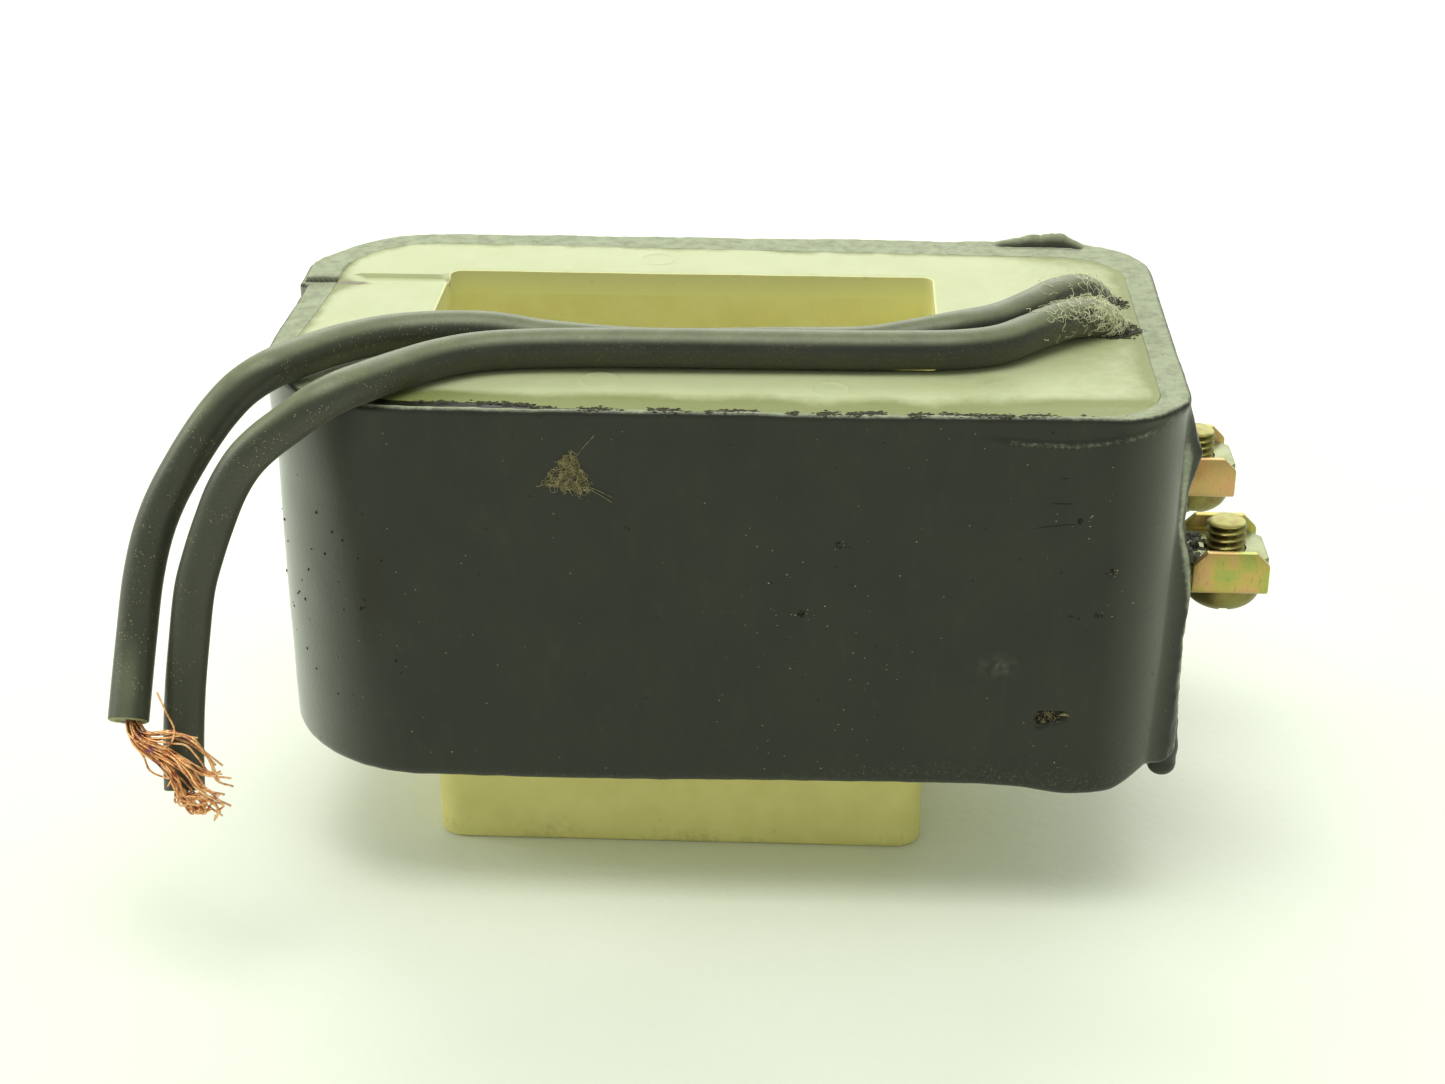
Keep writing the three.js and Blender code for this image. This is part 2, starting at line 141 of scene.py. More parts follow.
def add_studio():
    """A bright tent: a pale room, one soft light overhead, one behind and one at the left."""
    scene = bpy.context.scene
    scene.view_settings.view_transform = "Standard"
    world = bpy.data.worlds.new("studio")
    world.use_nodes = True
    background = world.node_tree.nodes["Background"]
    background.inputs["Color"].default_value = (0.93, 1.0, 0.84, 1)
    background.inputs["Strength"].default_value = 0.6
    scene.world = world
    add_area_light("overhead", (-0.05, -0.15, 0.9), (0, 0, 0), (0.75, 0.45), 5.0, (0.97, 1.0, 0.9))
    add_area_light("behind", (0.05, 1.0, 0.55), (0, 0.2, 0), (1.4, 0.8), 7.5, (1.0, 1.0, 0.97))
    add_area_light("left", (-0.9, 0.1, 0.4), (0, 0, 0.03), (0.45, 0.45), 3.0, (0.97, 1.0, 0.9))


# ---- node materials ----

class Look:
    """A node material in the making. Each method adds one node and returns its output."""

    def __init__(self, name):
        self.material = bpy.data.materials.new(name)
        self.material.use_nodes = True
        self.tree = self.material.node_tree
        self.shader = self.tree.nodes["Principled BSDF"]
        coordinates = self.tree.nodes.new("ShaderNodeTexCoord")
        scale = self.tree.nodes.new("ShaderNodeMapping")
        scale.inputs["Scale"].default_value = (1 / MM, 1 / MM, 1 / MM)
        self.tree.links.new(coordinates.outputs["Object"], scale.inputs["Vector"])
        self.place = scale.outputs["Vector"]

    def put(self, socket, value):
        """Links a node's output to a socket, or sets it to a number or a colour."""
        if isinstance(value, bpy.types.NodeSocket):
            self.tree.links.new(value, socket)
        else:
            socket.default_value = (*value, 1) if isinstance(value, tuple) else value

    def stretched(self, stretch):
        node = self.tree.nodes.new("ShaderNodeMapping")
        node.inputs["Scale"].default_value = [1 / factor for factor in stretch]
        self.tree.links.new(self.place, node.inputs["Vector"])
        return node.outputs["Vector"]

    def noise(self, size, detail=3, rough=0.55, stretch=None):
        node = self.tree.nodes.new("ShaderNodeTexNoise")
        node.inputs["Scale"].default_value = 1 / size
        node.inputs["Detail"].default_value = detail
        node.inputs["Roughness"].default_value = rough
        self.put(node.inputs["Vector"], self.stretched(stretch) if stretch else self.place)
        return node.outputs["Fac"]

    def cells(self, size):
        node = self.tree.nodes.new("ShaderNodeTexVoronoi")
        node.inputs["Scale"].default_value = 1 / size
        self.put(node.inputs["Vector"], self.place)
        return node.outputs["Distance"]

    def ramp(self, value, *stops):
        node = self.tree.nodes.new("ShaderNodeValToRGB")
        elements = node.color_ramp.elements
        while len(elements) < len(stops):
            elements.new(0.5)
        for element, (position, colour) in zip(elements, stops):
            element.position = position
            element.color = (*colour, 1) if isinstance(colour, tuple) else (colour, colour, colour, 1)
        self.put(node.inputs["Fac"], value)
        return node.outputs["Color"]

    def step(self, value, low, high):
        """0 below low, 1 above high, smooth in between."""
        node = self.tree.nodes.new("ShaderNodeMapRange")
        node.interpolation_type = "SMOOTHSTEP"
        node.inputs["From Min"].default_value = low
        node.inputs["From Max"].default_value = high
        self.put(node.inputs["Value"], value)
        return node.outputs["Result"]

    def math(self, operation, first, second):
        node = self.tree.nodes.new("ShaderNodeMath")
        node.operation = operation
        self.put(node.inputs[0], first)
        self.put(node.inputs[1], second)
        return node.outputs["Value"]

    def times(self, first, second):
        return self.math("MULTIPLY", first, second)

    def plus(self, first, second):
        return self.math("ADD", first, second)

    def mix(self, amount, first, second):
        node = self.tree.nodes.new("ShaderNodeMix")
        node.data_type = "RGBA"
        self.put(node.inputs["Factor"], amount)
        for socket, value in zip(self.colour_sockets(node.inputs), (first, second)):
            self.put(socket, value)
        return self.colour_sockets(node.outputs)[0]

    def coat(self, colour, over, mask, amount):
        """A colour with another over it, by a mask times an amount."""
        return self.mix(self.times(mask, amount), colour, over)

    def colour_sockets(self, sockets):
        return [socket for socket in sockets if socket.type == "RGBA"]

    def attribute(self, name):
        node = self.tree.nodes.new("ShaderNodeAttribute")
        node.attribute_name = name
        return node.outputs["Fac"]

    def normal(self):
        return self.tree.nodes.new("ShaderNodeNewGeometry").outputs["Normal"]

    def axis(self, letter, vector=None):
        """One part of a vector; the place in millimetres, if none is given."""
        split = self.tree.nodes.new("ShaderNodeSeparateXYZ")
        self.put(split.inputs["Vector"], vector or self.place)
        return split.outputs[letter]

    def bump(self, height, depth):
        """Relief of the given depth in millimetres, for a height from 0 to 1."""
        node = self.tree.nodes.new("ShaderNodeBump")
        node.inputs["Distance"].default_value = depth * MM
        self.put(node.inputs["Height"], height)
        if self.shader.inputs["Normal"].is_linked:
            self.put(node.inputs["Normal"], self.shader.inputs["Normal"].links[0].from_socket)
        self.put(self.shader.inputs["Normal"], node.outputs["Normal"])

    def finish(self, **sockets):
        for name, value in sockets.items():
            self.put(self.shader.inputs[name.replace("_", " ")], value)
        return self.material


def rubber_look():
    """Cast black compound: faintly mottled, pitted, dusty, with chalky abraded edges, painted sheen where the
    wall turns to the sides and painted shade in its hollows.
    """
    look = Look("case_compound")
    mottle = look.noise(9, 4)
    dark = look.mix(look.step(mottle, 0.35, 0.7), (0.0105, 0.012, 0.0055), (0.0150, 0.0168, 0.0085))
    smear = look.step(look.noise(2.6, 5, 0.7, (1, 1, 2.5)), 0.5, 0.75)
    dark = look.coat(dark, (0.032, 0.031, 0.018), smear, 0.3)
    # Painted sheen: paler colour where the wall turns to the sides, standing in for the grazing reflection; a
    # smudge on the front face rides along.
    bloom = look.attribute("bloom")
    dark = look.coat(dark, (0.20, 0.22, 0.155), bloom, 0.5)
    flecks = look.times(look.step(look.cells(1.3), 0.085, 0.04), look.step(look.noise(4, 2), 0.5, 0.58))
    dark = look.coat(dark, (0.15, 0.145, 0.075), flecks, 0.9)
    fine = look.noise(0.3, 5, 0.9)
    worn = look.plus(look.attribute("scuff"), look.times(fine, 0.9))
    dark = look.coat(dark, (0.21, 0.225, 0.15), look.step(worn, 0.98, 1.2), 0.75)
    chalk_noise = look.noise(1.4, 5, 0.7)
    chalk = look.mix(look.step(chalk_noise, 0.3, 0.65), (0.25, 0.27, 0.19), (0.36, 0.385, 0.275))
    smudge = look.step(look.noise(0.5, 5, 0.75, (1.8, 1, 1)), 0.55, 0.75)
    chalk = look.coat(chalk, (0.12, 0.13, 0.09), smudge, 0.4)
    specks = look.step(look.noise(0.25, 4, 0.8), 0.66, 0.72)
    chalk = look.coat(chalk, (0.06, 0.06, 0.04), specks, 0.6)
    ragged = look.plus(look.attribute("chalk"), look.times(look.noise(0.6, 5, 0.75), 0.5))
    amount = look.step(ragged, 0.55, 0.9)
    colour = look.mix(amount, dark, chalk)
    # Painted shade: in the slit, under the torn flap, in the gouge and down the flash's front; a darker strip
    # before the slit as well.
    colour = look.mix(look.attribute("grime"), colour, (0.014, 0.012, 0.008))
    look.bump(look.noise(0.5, 3), 0.03)
    look.bump(look.step(look.cells(2.6), 0.0, 0.07), 0.2)
    rough = look.ramp(amount, (0.0, 0.4), (1.0, 0.85))
    return look.finish(Base_Color=colour, Roughness=rough, Specular_IOR_Level=0.42, Sheen_Weight=bloom,
                       Sheen_Roughness=0.5)


def ivory_look(name, base, deep, dirt_colour):
    """Old moulded bobbin plastic, hazed by compound and dirtied where the attributes say so."""
    look = Look(name)
    cloud = look.noise(7, 4, 0.6)
    plain = look.mix(look.step(cloud, 0.3, 0.7), base, deep)
    plain = look.mix(look.attribute("wall"), plain, TUBE)
    fine = look.noise(0.7, 4, 0.7)
    speckle = look.times(look.step(fine, 0.66, 0.72), look.step(look.noise(5, 2), 0.5, 0.66))
    plain = look.coat(plain, dirt_colour, speckle, 0.4)
    haze = look.plus(look.attribute("haze"), look.times(look.noise(1.6, 5, 0.7), 0.5))
    plain = look.mix(look.step(haze, 0.45, 1.2), plain, HAZE)
    dirt = look.plus(look.attribute("dirt"), look.times(fine, 0.55))
    colour = look.mix(look.step(dirt, 0.62, 1.15), plain, dirt_colour)
    look.bump(look.noise(0.4, 3), 0.015)
    rough = look.ramp(fine, (0.3, 0.5), (0.7, 0.62))
    return look.finish(Base_Color=colour, Roughness=rough, Subsurface_Weight=0.08, Subsurface_Scale=0.001)


def lead_look():
    """Black PVC insulation: a painted highlight as paler grey where it faces up, painted light on the hanging
    part, dust, gold-brown specks below, brown dirt at the flange.
    """
    look = Look("lead_insulation")
    patch = look.noise(5, 3)
    hanging = look.step(look.axis("X"), -20, -42)
    dark = look.mix(look.step(patch, 0.4, 0.65), (0.011, 0.0125, 0.0075), (0.018, 0.0185, 0.0105))
    # The hanging part is painted lighter, standing in for the light it catches from the left.
    dark = look.coat(dark, (0.055, 0.062, 0.036), hanging, 0.4)
    facing = look.axis("Z", look.normal())
    uneven = look.ramp(look.noise(3, 4, 0.7), (0.3, 0.65), (0.6, 0.95))
    # Painted highlight: paler grey where the lead faces up, standing in for the soft light from above.
    top = look.times(look.step(facing, 0.45, 0.82), uneven)
    dark = look.mix(top, dark, (0.15, 0.168, 0.093))
    dust = look.step(look.noise(0.3, 4, 0.75), 0.55, 0.7)
    dusty = look.times(look.times(dust, look.step(facing, -0.2, 1.0)),
                      look.step(look.noise(8, 2), 0.4, 0.6))
    colour = look.coat(dark, (0.18, 0.18, 0.11), dusty, 0.6)
    below = look.step(facing, 0.45, -0.1)
    grain = look.step(look.noise(0.22, 4, 0.8), 0.5, 0.66)
    colour = look.coat(colour, (0.042, 0.044, 0.03), below, 0.5)
    brown = look.times(look.times(grain, below), look.step(look.noise(4, 3), 0.36, 0.56))
    colour = look.coat(colour, (0.11, 0.092, 0.035), brown, 0.55)
    soil = look.times(look.step(look.axis("X"), 25, 33), look.step(look.noise(0.7, 5, 0.8), 0.42, 0.62))
    colour = look.coat(colour, (0.155, 0.135, 0.075), soil, 0.6)
    specks = look.times(look.step(look.cells(0.35), 0.2, 0.1), look.step(look.noise(3, 2), 0.48, 0.6))
    colour = look.coat(colour, (0.30, 0.25, 0.10), specks, look.plus(0.35, hanging))
    look.bump(look.noise(0.6, 3), 0.01)
    look.bump(dust, 0.01)
    rough = look.ramp(dust, (0.0, 0.42), (1.0, 0.55))
    return look.finish(Base_Color=colour, Roughness=rough, Sheen_Weight=0.1, Sheen_Roughness=0.5,
                       Sheen_Tint=(0.95, 1.0, 0.8))


def cut_end_look():
    look = Look("cut_insulation")
    colour = look.mix(look.noise(0.5, 4, 0.7), (0.15, 0.155, 0.07), (0.42, 0.43, 0.19))
    look.bump(look.noise(0.25, 3), 0.05)
    return look.finish(Base_Color=colour, Roughness=0.7)


def copper_look():
    """Bare strands: bright copper, pale in places, with purplish tarnish."""
    look = Look("bare_copper")
    tarnish = look.noise(1.1, 4, 0.75)
    colour = look.ramp(
        tarnish, (0.34, (0.20, 0.085, 0.16)), (0.42, (0.50, 0.20, 0.11)),
        (0.50, (0.86, 0.43, 0.17)), (0.64, (0.95, 0.64, 0.36)),
    )
    look.bump(look.noise(0.2, 3), 0.01)
    return look.finish(Base_Color=colour, Metallic=0.75, Roughness=0.36)


def metal_look(name, stops, rough, size, spots=(0.12, 0.09, 0.035), blush=0.0):
    """Plated steel with a drifting colour, faint scratches and dull spots, darker where the attribute
    shade says so. blush is how orange the plating turns towards the back."""
    look = Look(name)
    drift = look.noise(size, 3, 0.6)
    colour = look.ramp(drift, *stops)
    colour = look.coat(colour, BLUSH, look.step(look.axis("Y"), -4, 4), blush)
    colour = look.mix(look.attribute("shade"), colour, SHADED)
    scratch = look.noise(0.14, 4, 0.7, (1, 1, 8))
    colour = look.coat(colour, spots, look.step(scratch, 0.56, 0.7), 0.45)
    dull = look.step(look.noise(0.3, 5, 0.8), 0.62, 0.7)
    colour = look.coat(colour, spots, dull, 0.8)
    look.bump(scratch, 0.012)
    roughness = look.ramp(dull, (0.0, rough), (1.0, rough + 0.3))
    return look.finish(Base_Color=colour, Metallic=0.9, Roughness=roughness)


def fibre_look(name, first, second):
    look = Look(name)
    colour = look.mix(look.step(look.noise(0.6, 3), 0.35, 0.65), first, second)
    return look.finish(Base_Color=colour, Roughness=0.9)


def crumb_look():
    look = Look("crumbs")
    colour = look.mix(look.noise(0.5, 4, 0.7), (0.015, 0.014, 0.01), (0.12, 0.11, 0.075))
    look.bump(look.noise(0.15, 3), 0.05)
    return look.finish(Base_Color=colour, Roughness=0.9)


def paper_look():
    look = Look("insulation_paper")
    colour = look.mix(look.noise(0.4, 5, 0.7, (4, 4, 1)), (0.55, 0.45, 0.27), (0.72, 0.62, 0.42))
    look.bump(look.noise(0.3, 4), 0.03)
    return look.finish(Base_Color=colour, Roughness=0.85)


def enamel_look():
    """Enamelled winding wire, layer on layer."""
    look = Look("winding_wire")
    turns = look.tree.nodes.new("ShaderNodeTexWave")
    turns.bands_direction = "Z"
    turns.inputs["Scale"].default_value = 0.55
    look.put(turns.inputs["Vector"], look.place)
    colour = look.mix(look.noise(3, 3), (0.45, 0.13, 0.04), (0.62, 0.24, 0.08))
    look.bump(turns.outputs["Fac"], 0.2)
    return look.finish(Base_Color=colour, Metallic=0.8, Roughness=0.3)


def floor_look():
    look = Look("floor")
    cloud = look.noise(60, 3)
    colour = look.mix(look.step(cloud, 0.3, 0.7), (0.77, 0.79, 0.725), (0.805, 0.825, 0.765))
    mark = look.step(look.noise(2.2, 5, 0.7, (6, 1, 1)), 0.68, 0.76)
    colour = look.coat(colour, (0.60, 0.62, 0.53), mark, 0.35)
    look.bump(look.noise(1.5, 4), 0.06)
    return look.finish(Base_Color=colour, Roughness=0.55)


def potting_look():
    """The same compound, creased: painted shade darkens the creases of its relief, and its ridges are dusted
    grey.
    """
    look = Look("potting")
    crease = look.noise(0.7, 5, 0.8)
    # Painted shade: the colour follows the bump's relief, near black in the creases.
    colour = look.ramp(crease, (0.36, (0.010, 0.010, 0.006)), (0.5, (0.05, 0.055, 0.038)),
                       (0.68, (0.14, 0.15, 0.105)))
    look.bump(crease, 0.15)
    return look.finish(Base_Color=colour, Roughness=0.65)


IVORY = (0.49, 0.515, 0.32)
IVORY_DEEP = (0.46, 0.485, 0.285)
HAZE = (0.215, 0.235, 0.08)
SHADED = (0.10, 0.085, 0.022)
BLUSH = (0.62, 0.34, 0.18)
OLIVE = (0.75, 0.69, 0.27)
OLIVE_DEEP = (0.68, 0.615, 0.22)
TUBE = (0.86, 0.83, 0.36)
TUBE_DEEP = (0.80, 0.75, 0.29)
ZINC_STOPS = (
    (0.32, (0.60, 0.35, 0.18)), (0.44, (0.56, 0.41, 0.13)),
    (0.54, (0.47, 0.42, 0.11)), (0.66, (0.38, 0.42, 0.11)),
)
SCREW_STOPS = ((0.3, (0.26, 0.15, 0.07)), (0.45, (0.31, 0.26, 0.09)), (0.62, (0.33, 0.33, 0.10)))
TIN_STOPS = ((0.3, (0.20, 0.22, 0.11)), (0.5, (0.27, 0.29, 0.155)), (0.7, (0.30, 0.31, 0.17)))

LOOKS = {
    "rubber": rubber_look(),
    "ivory": ivory_look("bobbin_ivory", IVORY, IVORY_DEEP, (0.16, 0.14, 0.085)),
    "olive": ivory_look("bobbin_olive", OLIVE, OLIVE_DEEP, (0.22, 0.16, 0.07)),
    "tube": ivory_look("bobbin_tube", TUBE, TUBE_DEEP, (0.30, 0.20, 0.08)),
    "lead": lead_look(),
    "cut_end": cut_end_look(),
    "copper": copper_look(),
    "zinc": metal_look("yellow_zinc", ZINC_STOPS, 0.34, 2.6, blush=0.6),
    "screw": metal_look("screw_zinc", SCREW_STOPS, 0.38, 1.2),
    "tin": metal_look("tin_plate", TIN_STOPS, 0.36, 2.4, (0.3, 0.28, 0.16)),
    "lint": fibre_look("lint", (0.55, 0.55, 0.36), (0.88, 0.87, 0.64)),
    "tan_fibre": fibre_look("tan_fibre", (0.20, 0.16, 0.07), (0.42, 0.36, 0.18)),
    # Near black: painted shade for the pits' hollows; the scratches use it too.
    "pit": fibre_look("pit", (0.003, 0.0025, 0.0015), (0.01, 0.008, 0.004)),
    "crumbs": crumb_look(),
    "potting": potting_look(),
    "grit": fibre_look("grit", (0.16, 0.15, 0.08), (0.40, 0.38, 0.22)),
    "paper": paper_look(),
    "enamel": enamel_look(),
    "floor": floor_look(),
}


# ---- making pieces ----

def settle(piece, look, body, replaces=()):
    """Links a piece, gives it its material, ties it to its body and hides the CAD nodes it replaces."""
    bpy.context.scene.collection.objects.link(piece)
    piece.data.materials.append(LOOKS[look])
    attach(piece, body)
    if replaces:
        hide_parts(*replaces)
    return piece


def mesh_piece(name, points, faces, look, body="coil", replaces=(), values=None):
    """A mesh from points in millimetres; values are named numbers for each point, read by the materials."""
    mesh = bpy.data.meshes.new(name)
    mesh.from_pydata(to_frame(points).tolist(), [], [list(face) for face in faces])
    mesh.polygons.foreach_set("use_smooth", [True] * len(mesh.polygons))
    for key, numbers in (values or {}).items():
        attribute = mesh.attributes.new(key, "FLOAT", "POINT")
        attribute.data.foreach_set("value", np.asarray(numbers, np.float32))
    return settle(bpy.data.objects.new(name, mesh), look, body, replaces)


def loft(rows, closed_rows=True):
    """Points and faces of a grid whose rows are closed loops; closed_rows joins the last row to the first."""
    count, across = len(rows), len(rows[0])
    points = np.concatenate(rows)
    faces = []
    for row in range(count if closed_rows else count - 1):
        upper = (row + 1) % count
        for i in range(across):
            j = (i + 1) % across
            faces.append((row * across + i, row * across + j, upper * across + j, upper * across + i))
    return points, faces


def smoothstep(value, low, high):
    t = np.clip((np.asarray(value, float) - low) / (high - low), 0, 1)
    return t * t * (3 - 2 * t)


def bell(distance, width):
    """1 where the distance is 0, falling away smoothly over the width."""
    return np.exp(-(distance / width) ** 2)


def wobble(points, size, seed, octaves=1):
    """Smooth random numbers from about -1 to 1 at points, changing over size millimetres."""
    shift = Vector((seed * 17.3, seed * 5.1, seed * 11.7))
    scaled = np.asarray(points, float) / size
    if octaves == 1:
        return np.array([noise.noise(Vector(p) + shift) for p in scaled])
    return np.array([noise.fractal(Vector(p) + shift, 1.0, 2.0, octaves) for p in scaled])


def catmull_rom(points, steps):
    """A centripetal Catmull-Rom curve through the points, steps samples to each stretch."""
    p = [np.array(point, float) for point in points]
    p = [2 * p[0] - p[1]] + p + [2 * p[-1] - p[-2]]
    line = []
    for a, b, c, d in zip(p, p[1:], p[2:], p[3:]):
        t1 = max(np.linalg.norm(b - a), 1e-6) ** 0.5
        t2 = t1 + max(np.linalg.norm(c - b), 1e-6) ** 0.5
        t3 = t2 + max(np.linalg.norm(d - c), 1e-6) ** 0.5
        for k in range(steps):
            t = t1 + (t2 - t1) * k / steps
            ab = a * (t1 - t) / t1 + b * t / t1
            bc = b * (t2 - t) / (t2 - t1) + c * (t - t1) / (t2 - t1)
            cd = c * (t3 - t) / (t3 - t2) + d * (t - t2) / (t3 - t2)
            abc = ab * (t2 - t) / t2 + bc * t / t2
            bcd = bc * (t3 - t) / (t3 - t1) + cd * (t - t1) / (t3 - t1)
            line.append(abc * (t2 - t) / (t2 - t1) + bcd * (t - t1) / (t2 - t1))
    line.append(p[-2])
    return np.array(line)


def curve_piece(name, lines, diameter, look, replaces=(), resolution=3, radii=None):
    """Round threads along lines of points in millimetres, one spline each."""
    data = bpy.data.curves.new(name, "CURVE")
    data.dimensions = "3D"
    data.bevel_depth = diameter / 2 * MM
    data.bevel_resolution = resolution
    data.use_fill_caps = True
    for index, line in enumerate(lines):
        spline = data.splines.new("POLY")
        spline.points.add(len(line) - 1)
        places = np.column_stack((to_frame(line), np.ones(len(line))))
        spline.points.foreach_set("co", places.ravel())
        spline.use_smooth = True
        if radii is not None:
            spline.points.foreach_set("radius", radii[index])
    return settle(bpy.data.objects.new(name, data), look, "coil", replaces)


# ---- outlines ----

SIDE_STATIONS = {"front": 200, "right": 60, "back": 170, "left": 110}
CORNER_STATIONS = {"front_left": 60, "front_right": 64, "back_right": 30, "back_left": 36}


def rounded_loop(left, right, front, back, radii):
    """A rectangle with four corner radii, walked from the front left corner with the same stations
    on every size, so that loops of different sizes match point for point."""
    front_left, front_right, back_right, back_left = radii
    quarter = math.pi / 2
    walk = (
        ("front", (left + front_left, front), (right - front_right, front)),
        ("front_right", (right - front_right, front + front_right), front_right, -quarter),
        ("right", (right, front + front_right), (right, back - back_right)),
        ("back_right", (right - back_right, back - back_right), back_right, 0),
        ("back", (right - back_right, back), (left + back_left, back)),
        ("back_left", (left + back_left, back - back_left), back_left, quarter),
        ("left", (left, back - back_left), (left, front + front_left)),
        ("front_left", (left + front_left, front + front_left), front_left, 2 * quarter),
    )
    points = []
    for name, start, end, *angle in walk:
        if angle:
            steps = CORNER_STATIONS[name]
            for k in range(steps):
                turn = angle[0] + quarter * k / steps
                points.append((start[0] + end * math.cos(turn), start[1] + end * math.sin(turn)))
        else:
            steps = SIDE_STATIONS[name]
            for k in range(steps):
                t = k / steps
                points.append((start[0] + (end[0] - start[0]) * t, start[1] + (end[1] - start[1]) * t))
    return np.array(points)


def outward(loop):
    """The outward direction at each point of a loop that is walked anticlockwise."""
    along = np.roll(loop, -1, 0) - np.roll(loop, 1, 0)
    normal = np.column_stack((along[:, 1], -along[:, 0]))
    return normal / np.linalg.norm(normal, axis=1)[:, None]


def at_height(loop, z):
    return np.column_stack((loop, np.broadcast_to(z, len(loop))))


CASE_RADII = (17, 8, 10, 13)
FLANGE_RADII = (14, 6, 7, 10)
case_loop = rounded_loop(LEFT, RIGHT, FRONT, BACK, CASE_RADII)
case_out = outward(case_loop)


def flange_loop():
    """The flange's outline: its back edge runs at a slant, and its front edge is ragged."""
    loop = rounded_loop(FLANGE_LOW[0], FLANGE_HIGH[0], FLANGE_LOW[1], FLANGE_HIGH[1], FLANGE_RADII)
    share = (loop[:, 0] - FLANGE_LOW[0]) / (FLANGE_HIGH[0] - FLANGE_LOW[0])
    behind = smoothstep(loop[:, 1], 5, FLANGE_HIGH[1])
    loop[:, 1] += behind * (1.1 - 2.2 * share)
    ahead = smoothstep(loop[:, 1], FLANGE_LOW[1] + 6, FLANGE_LOW[1])
    ragged = 0.3 * wobble(at_height(loop, 0), 4, 1) + 0.15 * wobble(at_height(loop, 0), 1.1, 2)
    reach = 0.75 - 1.1 * smoothstep(loop[:, 0], -14, -24)
    loop[:, 1] -= ahead * (reach + ragged) * smoothstep(loop[:, 0], 45, 25)
    left = smoothstep(loop[:, 0], FLANGE_LOW[0] + 6, FLANGE_LOW[0])
    loop[:, 0] -= left * 0.9 * smoothstep(loop[:, 1], 9, -12)
    return loop


seat_loop = flange_loop()


# ---- case ----

EDGE_RADIUS = 0.45
BOTTOM_RADIUS = 0.9
FLASH_Y = -20.6
SLIT_Y = 9.6
# How far the flash stands out at each height, and where its front edge meets the wall.
FLASH_OUTLINE = (
    (13.4, 1.0), (20, 1.0), (30.6, 0.97), (36, 1.25), (39, 0.9), (42.6, 0.3), (46, 0.45),
    (50.2, 1.2), (52.4, 0.6), (54.6, 0.0),
)
FLASH_ROOT = ((15, -24.7), (50, -22.4))
# The height of the torn flap on the back edge, along X.
FLAP_OUTLINE = (
    (29.2, 0.0), (30.4, 0.25), (32.5, 0.65), (34, 0.98), (36.1, 1.22), (37.5, 1.1), (38.9, 0.5), (40.2, 0.0),
)
# The middle of the gouge in the front face, X and Z.
GOUGE = (34.2, 23.4)
WINDING_CORNER = 9
SEAT_GAP = 0.1


def step_line():
    """The height of the cast step that runs along the top of the front face, and how marked it is."""
    x, y = case_loop.T
    height = 52.9 + 0.016 * (x - 33) ** 2 + 0.15 * wobble(at_height(case_loop, 50), 5, 5)
    return height, smoothstep(x, 25, 29) * smoothstep(y, -12, -20)


def gouge_depth(z):
    """0 outside the gouge near the lower right corner and 1 in its middle: it narrows to the right."""
    x, y = case_loop.T
    along, across = x - GOUGE[0], z - GOUGE[1] - 0.14 * (x - GOUGE[0])
    half_width = np.clip(0.75 - 0.3 * along, 0.25, 1.4)
    edge = 1.0 - np.hypot(along / 2.1, across / half_width) + 0.3 * wobble(at_height(case_loop, z), 0.9, 6)
    return smoothstep(edge, 0, 0.4) * smoothstep(y, FRONT + 2, FRONT)


def flash_mask(z):
    """1 on the flash and 0 off it: it has a steep front and a soft back."""
    x, y = case_loop.T
    root = np.interp(z, *zip(*FLASH_ROOT))
    front = smoothstep(y, root, root + 1.3)
    back = smoothstep(y, FLASH_Y + 2.0, FLASH_Y + 0.3)
    return front * back * smoothstep(x, RIGHT - 6, RIGHT - 2.5)


def wall_waves(place):
    """The unevenness of the cast wall at each point."""
    return 0.14 * wobble(place, 17, 3) + 0.04 * wobble(place, 4, 4)


def wall_offset(z):
    """How far the case's wall stands out from its plain outline at height z, for each station."""
    place = at_height(case_loop, z)
    x, y = case_loop.T
    offset = wall_waves(place)
    step_height, step = step_line()
    offset -= 0.3 * step * smoothstep(z - step_height, -0.1, 0.35)
    offset -= 1.1 * gouge_depth(z)
    # The front left corner leans in below the rim.
    offset -= 0.35 * smoothstep(z, 52, 44) * smoothstep(x, -34, -44) * smoothstep(y, 0, -10)
    # The left end stands out behind the slit.
    behind_slit = smoothstep(y, SLIT_Y - 1.2, SLIT_Y - 0.6) * smoothstep(x, -34, -44)
    offset += 0.85 * behind_slit * smoothstep(y, 21, 14)
    return offset + flash_offset(z, place)


def flash_offset(z, place):
    """Flash down the right-hand end, at the mould's joint: a rounded ridge."""
    reach = np.interp(z, *zip(*FLASH_OUTLINE)) + 0.1 * wobble(place, 1.6, 7) + 0.06 * wobble(place, 0.5, 16)
    shape = np.interp(case_loop[:, 1], (-22, FLASH_Y, FLASH_Y + 1), (1.5, 1.2, 0.9))
    return np.clip(reach, 0, 2.2) * shape * flash_mask(z)


def top_height():
    """The height of the case's top edge at each station."""
    place = at_height(case_loop, TOP)
    return TOP + 0.12 * wobble(place, 6, 8) + 0.08 * wobble(place, 1.2, 9)


def bottom_height():
    x, y = case_loop.T
    place = at_height(case_loop, BOTTOM)
    front = smoothstep(y, 0, -20)
    sag = 0.9 * bell(x - 36.5, 5) * front + 0.5 * smoothstep(x, 25, -15) * front
    rise = 1.5 * smoothstep(x, 40.5, 45) * front
    return BOTTOM + 0.08 * wobble(place, 9, 10) + 0.06 * wobble(place, 1.5, 11) - sag + rise


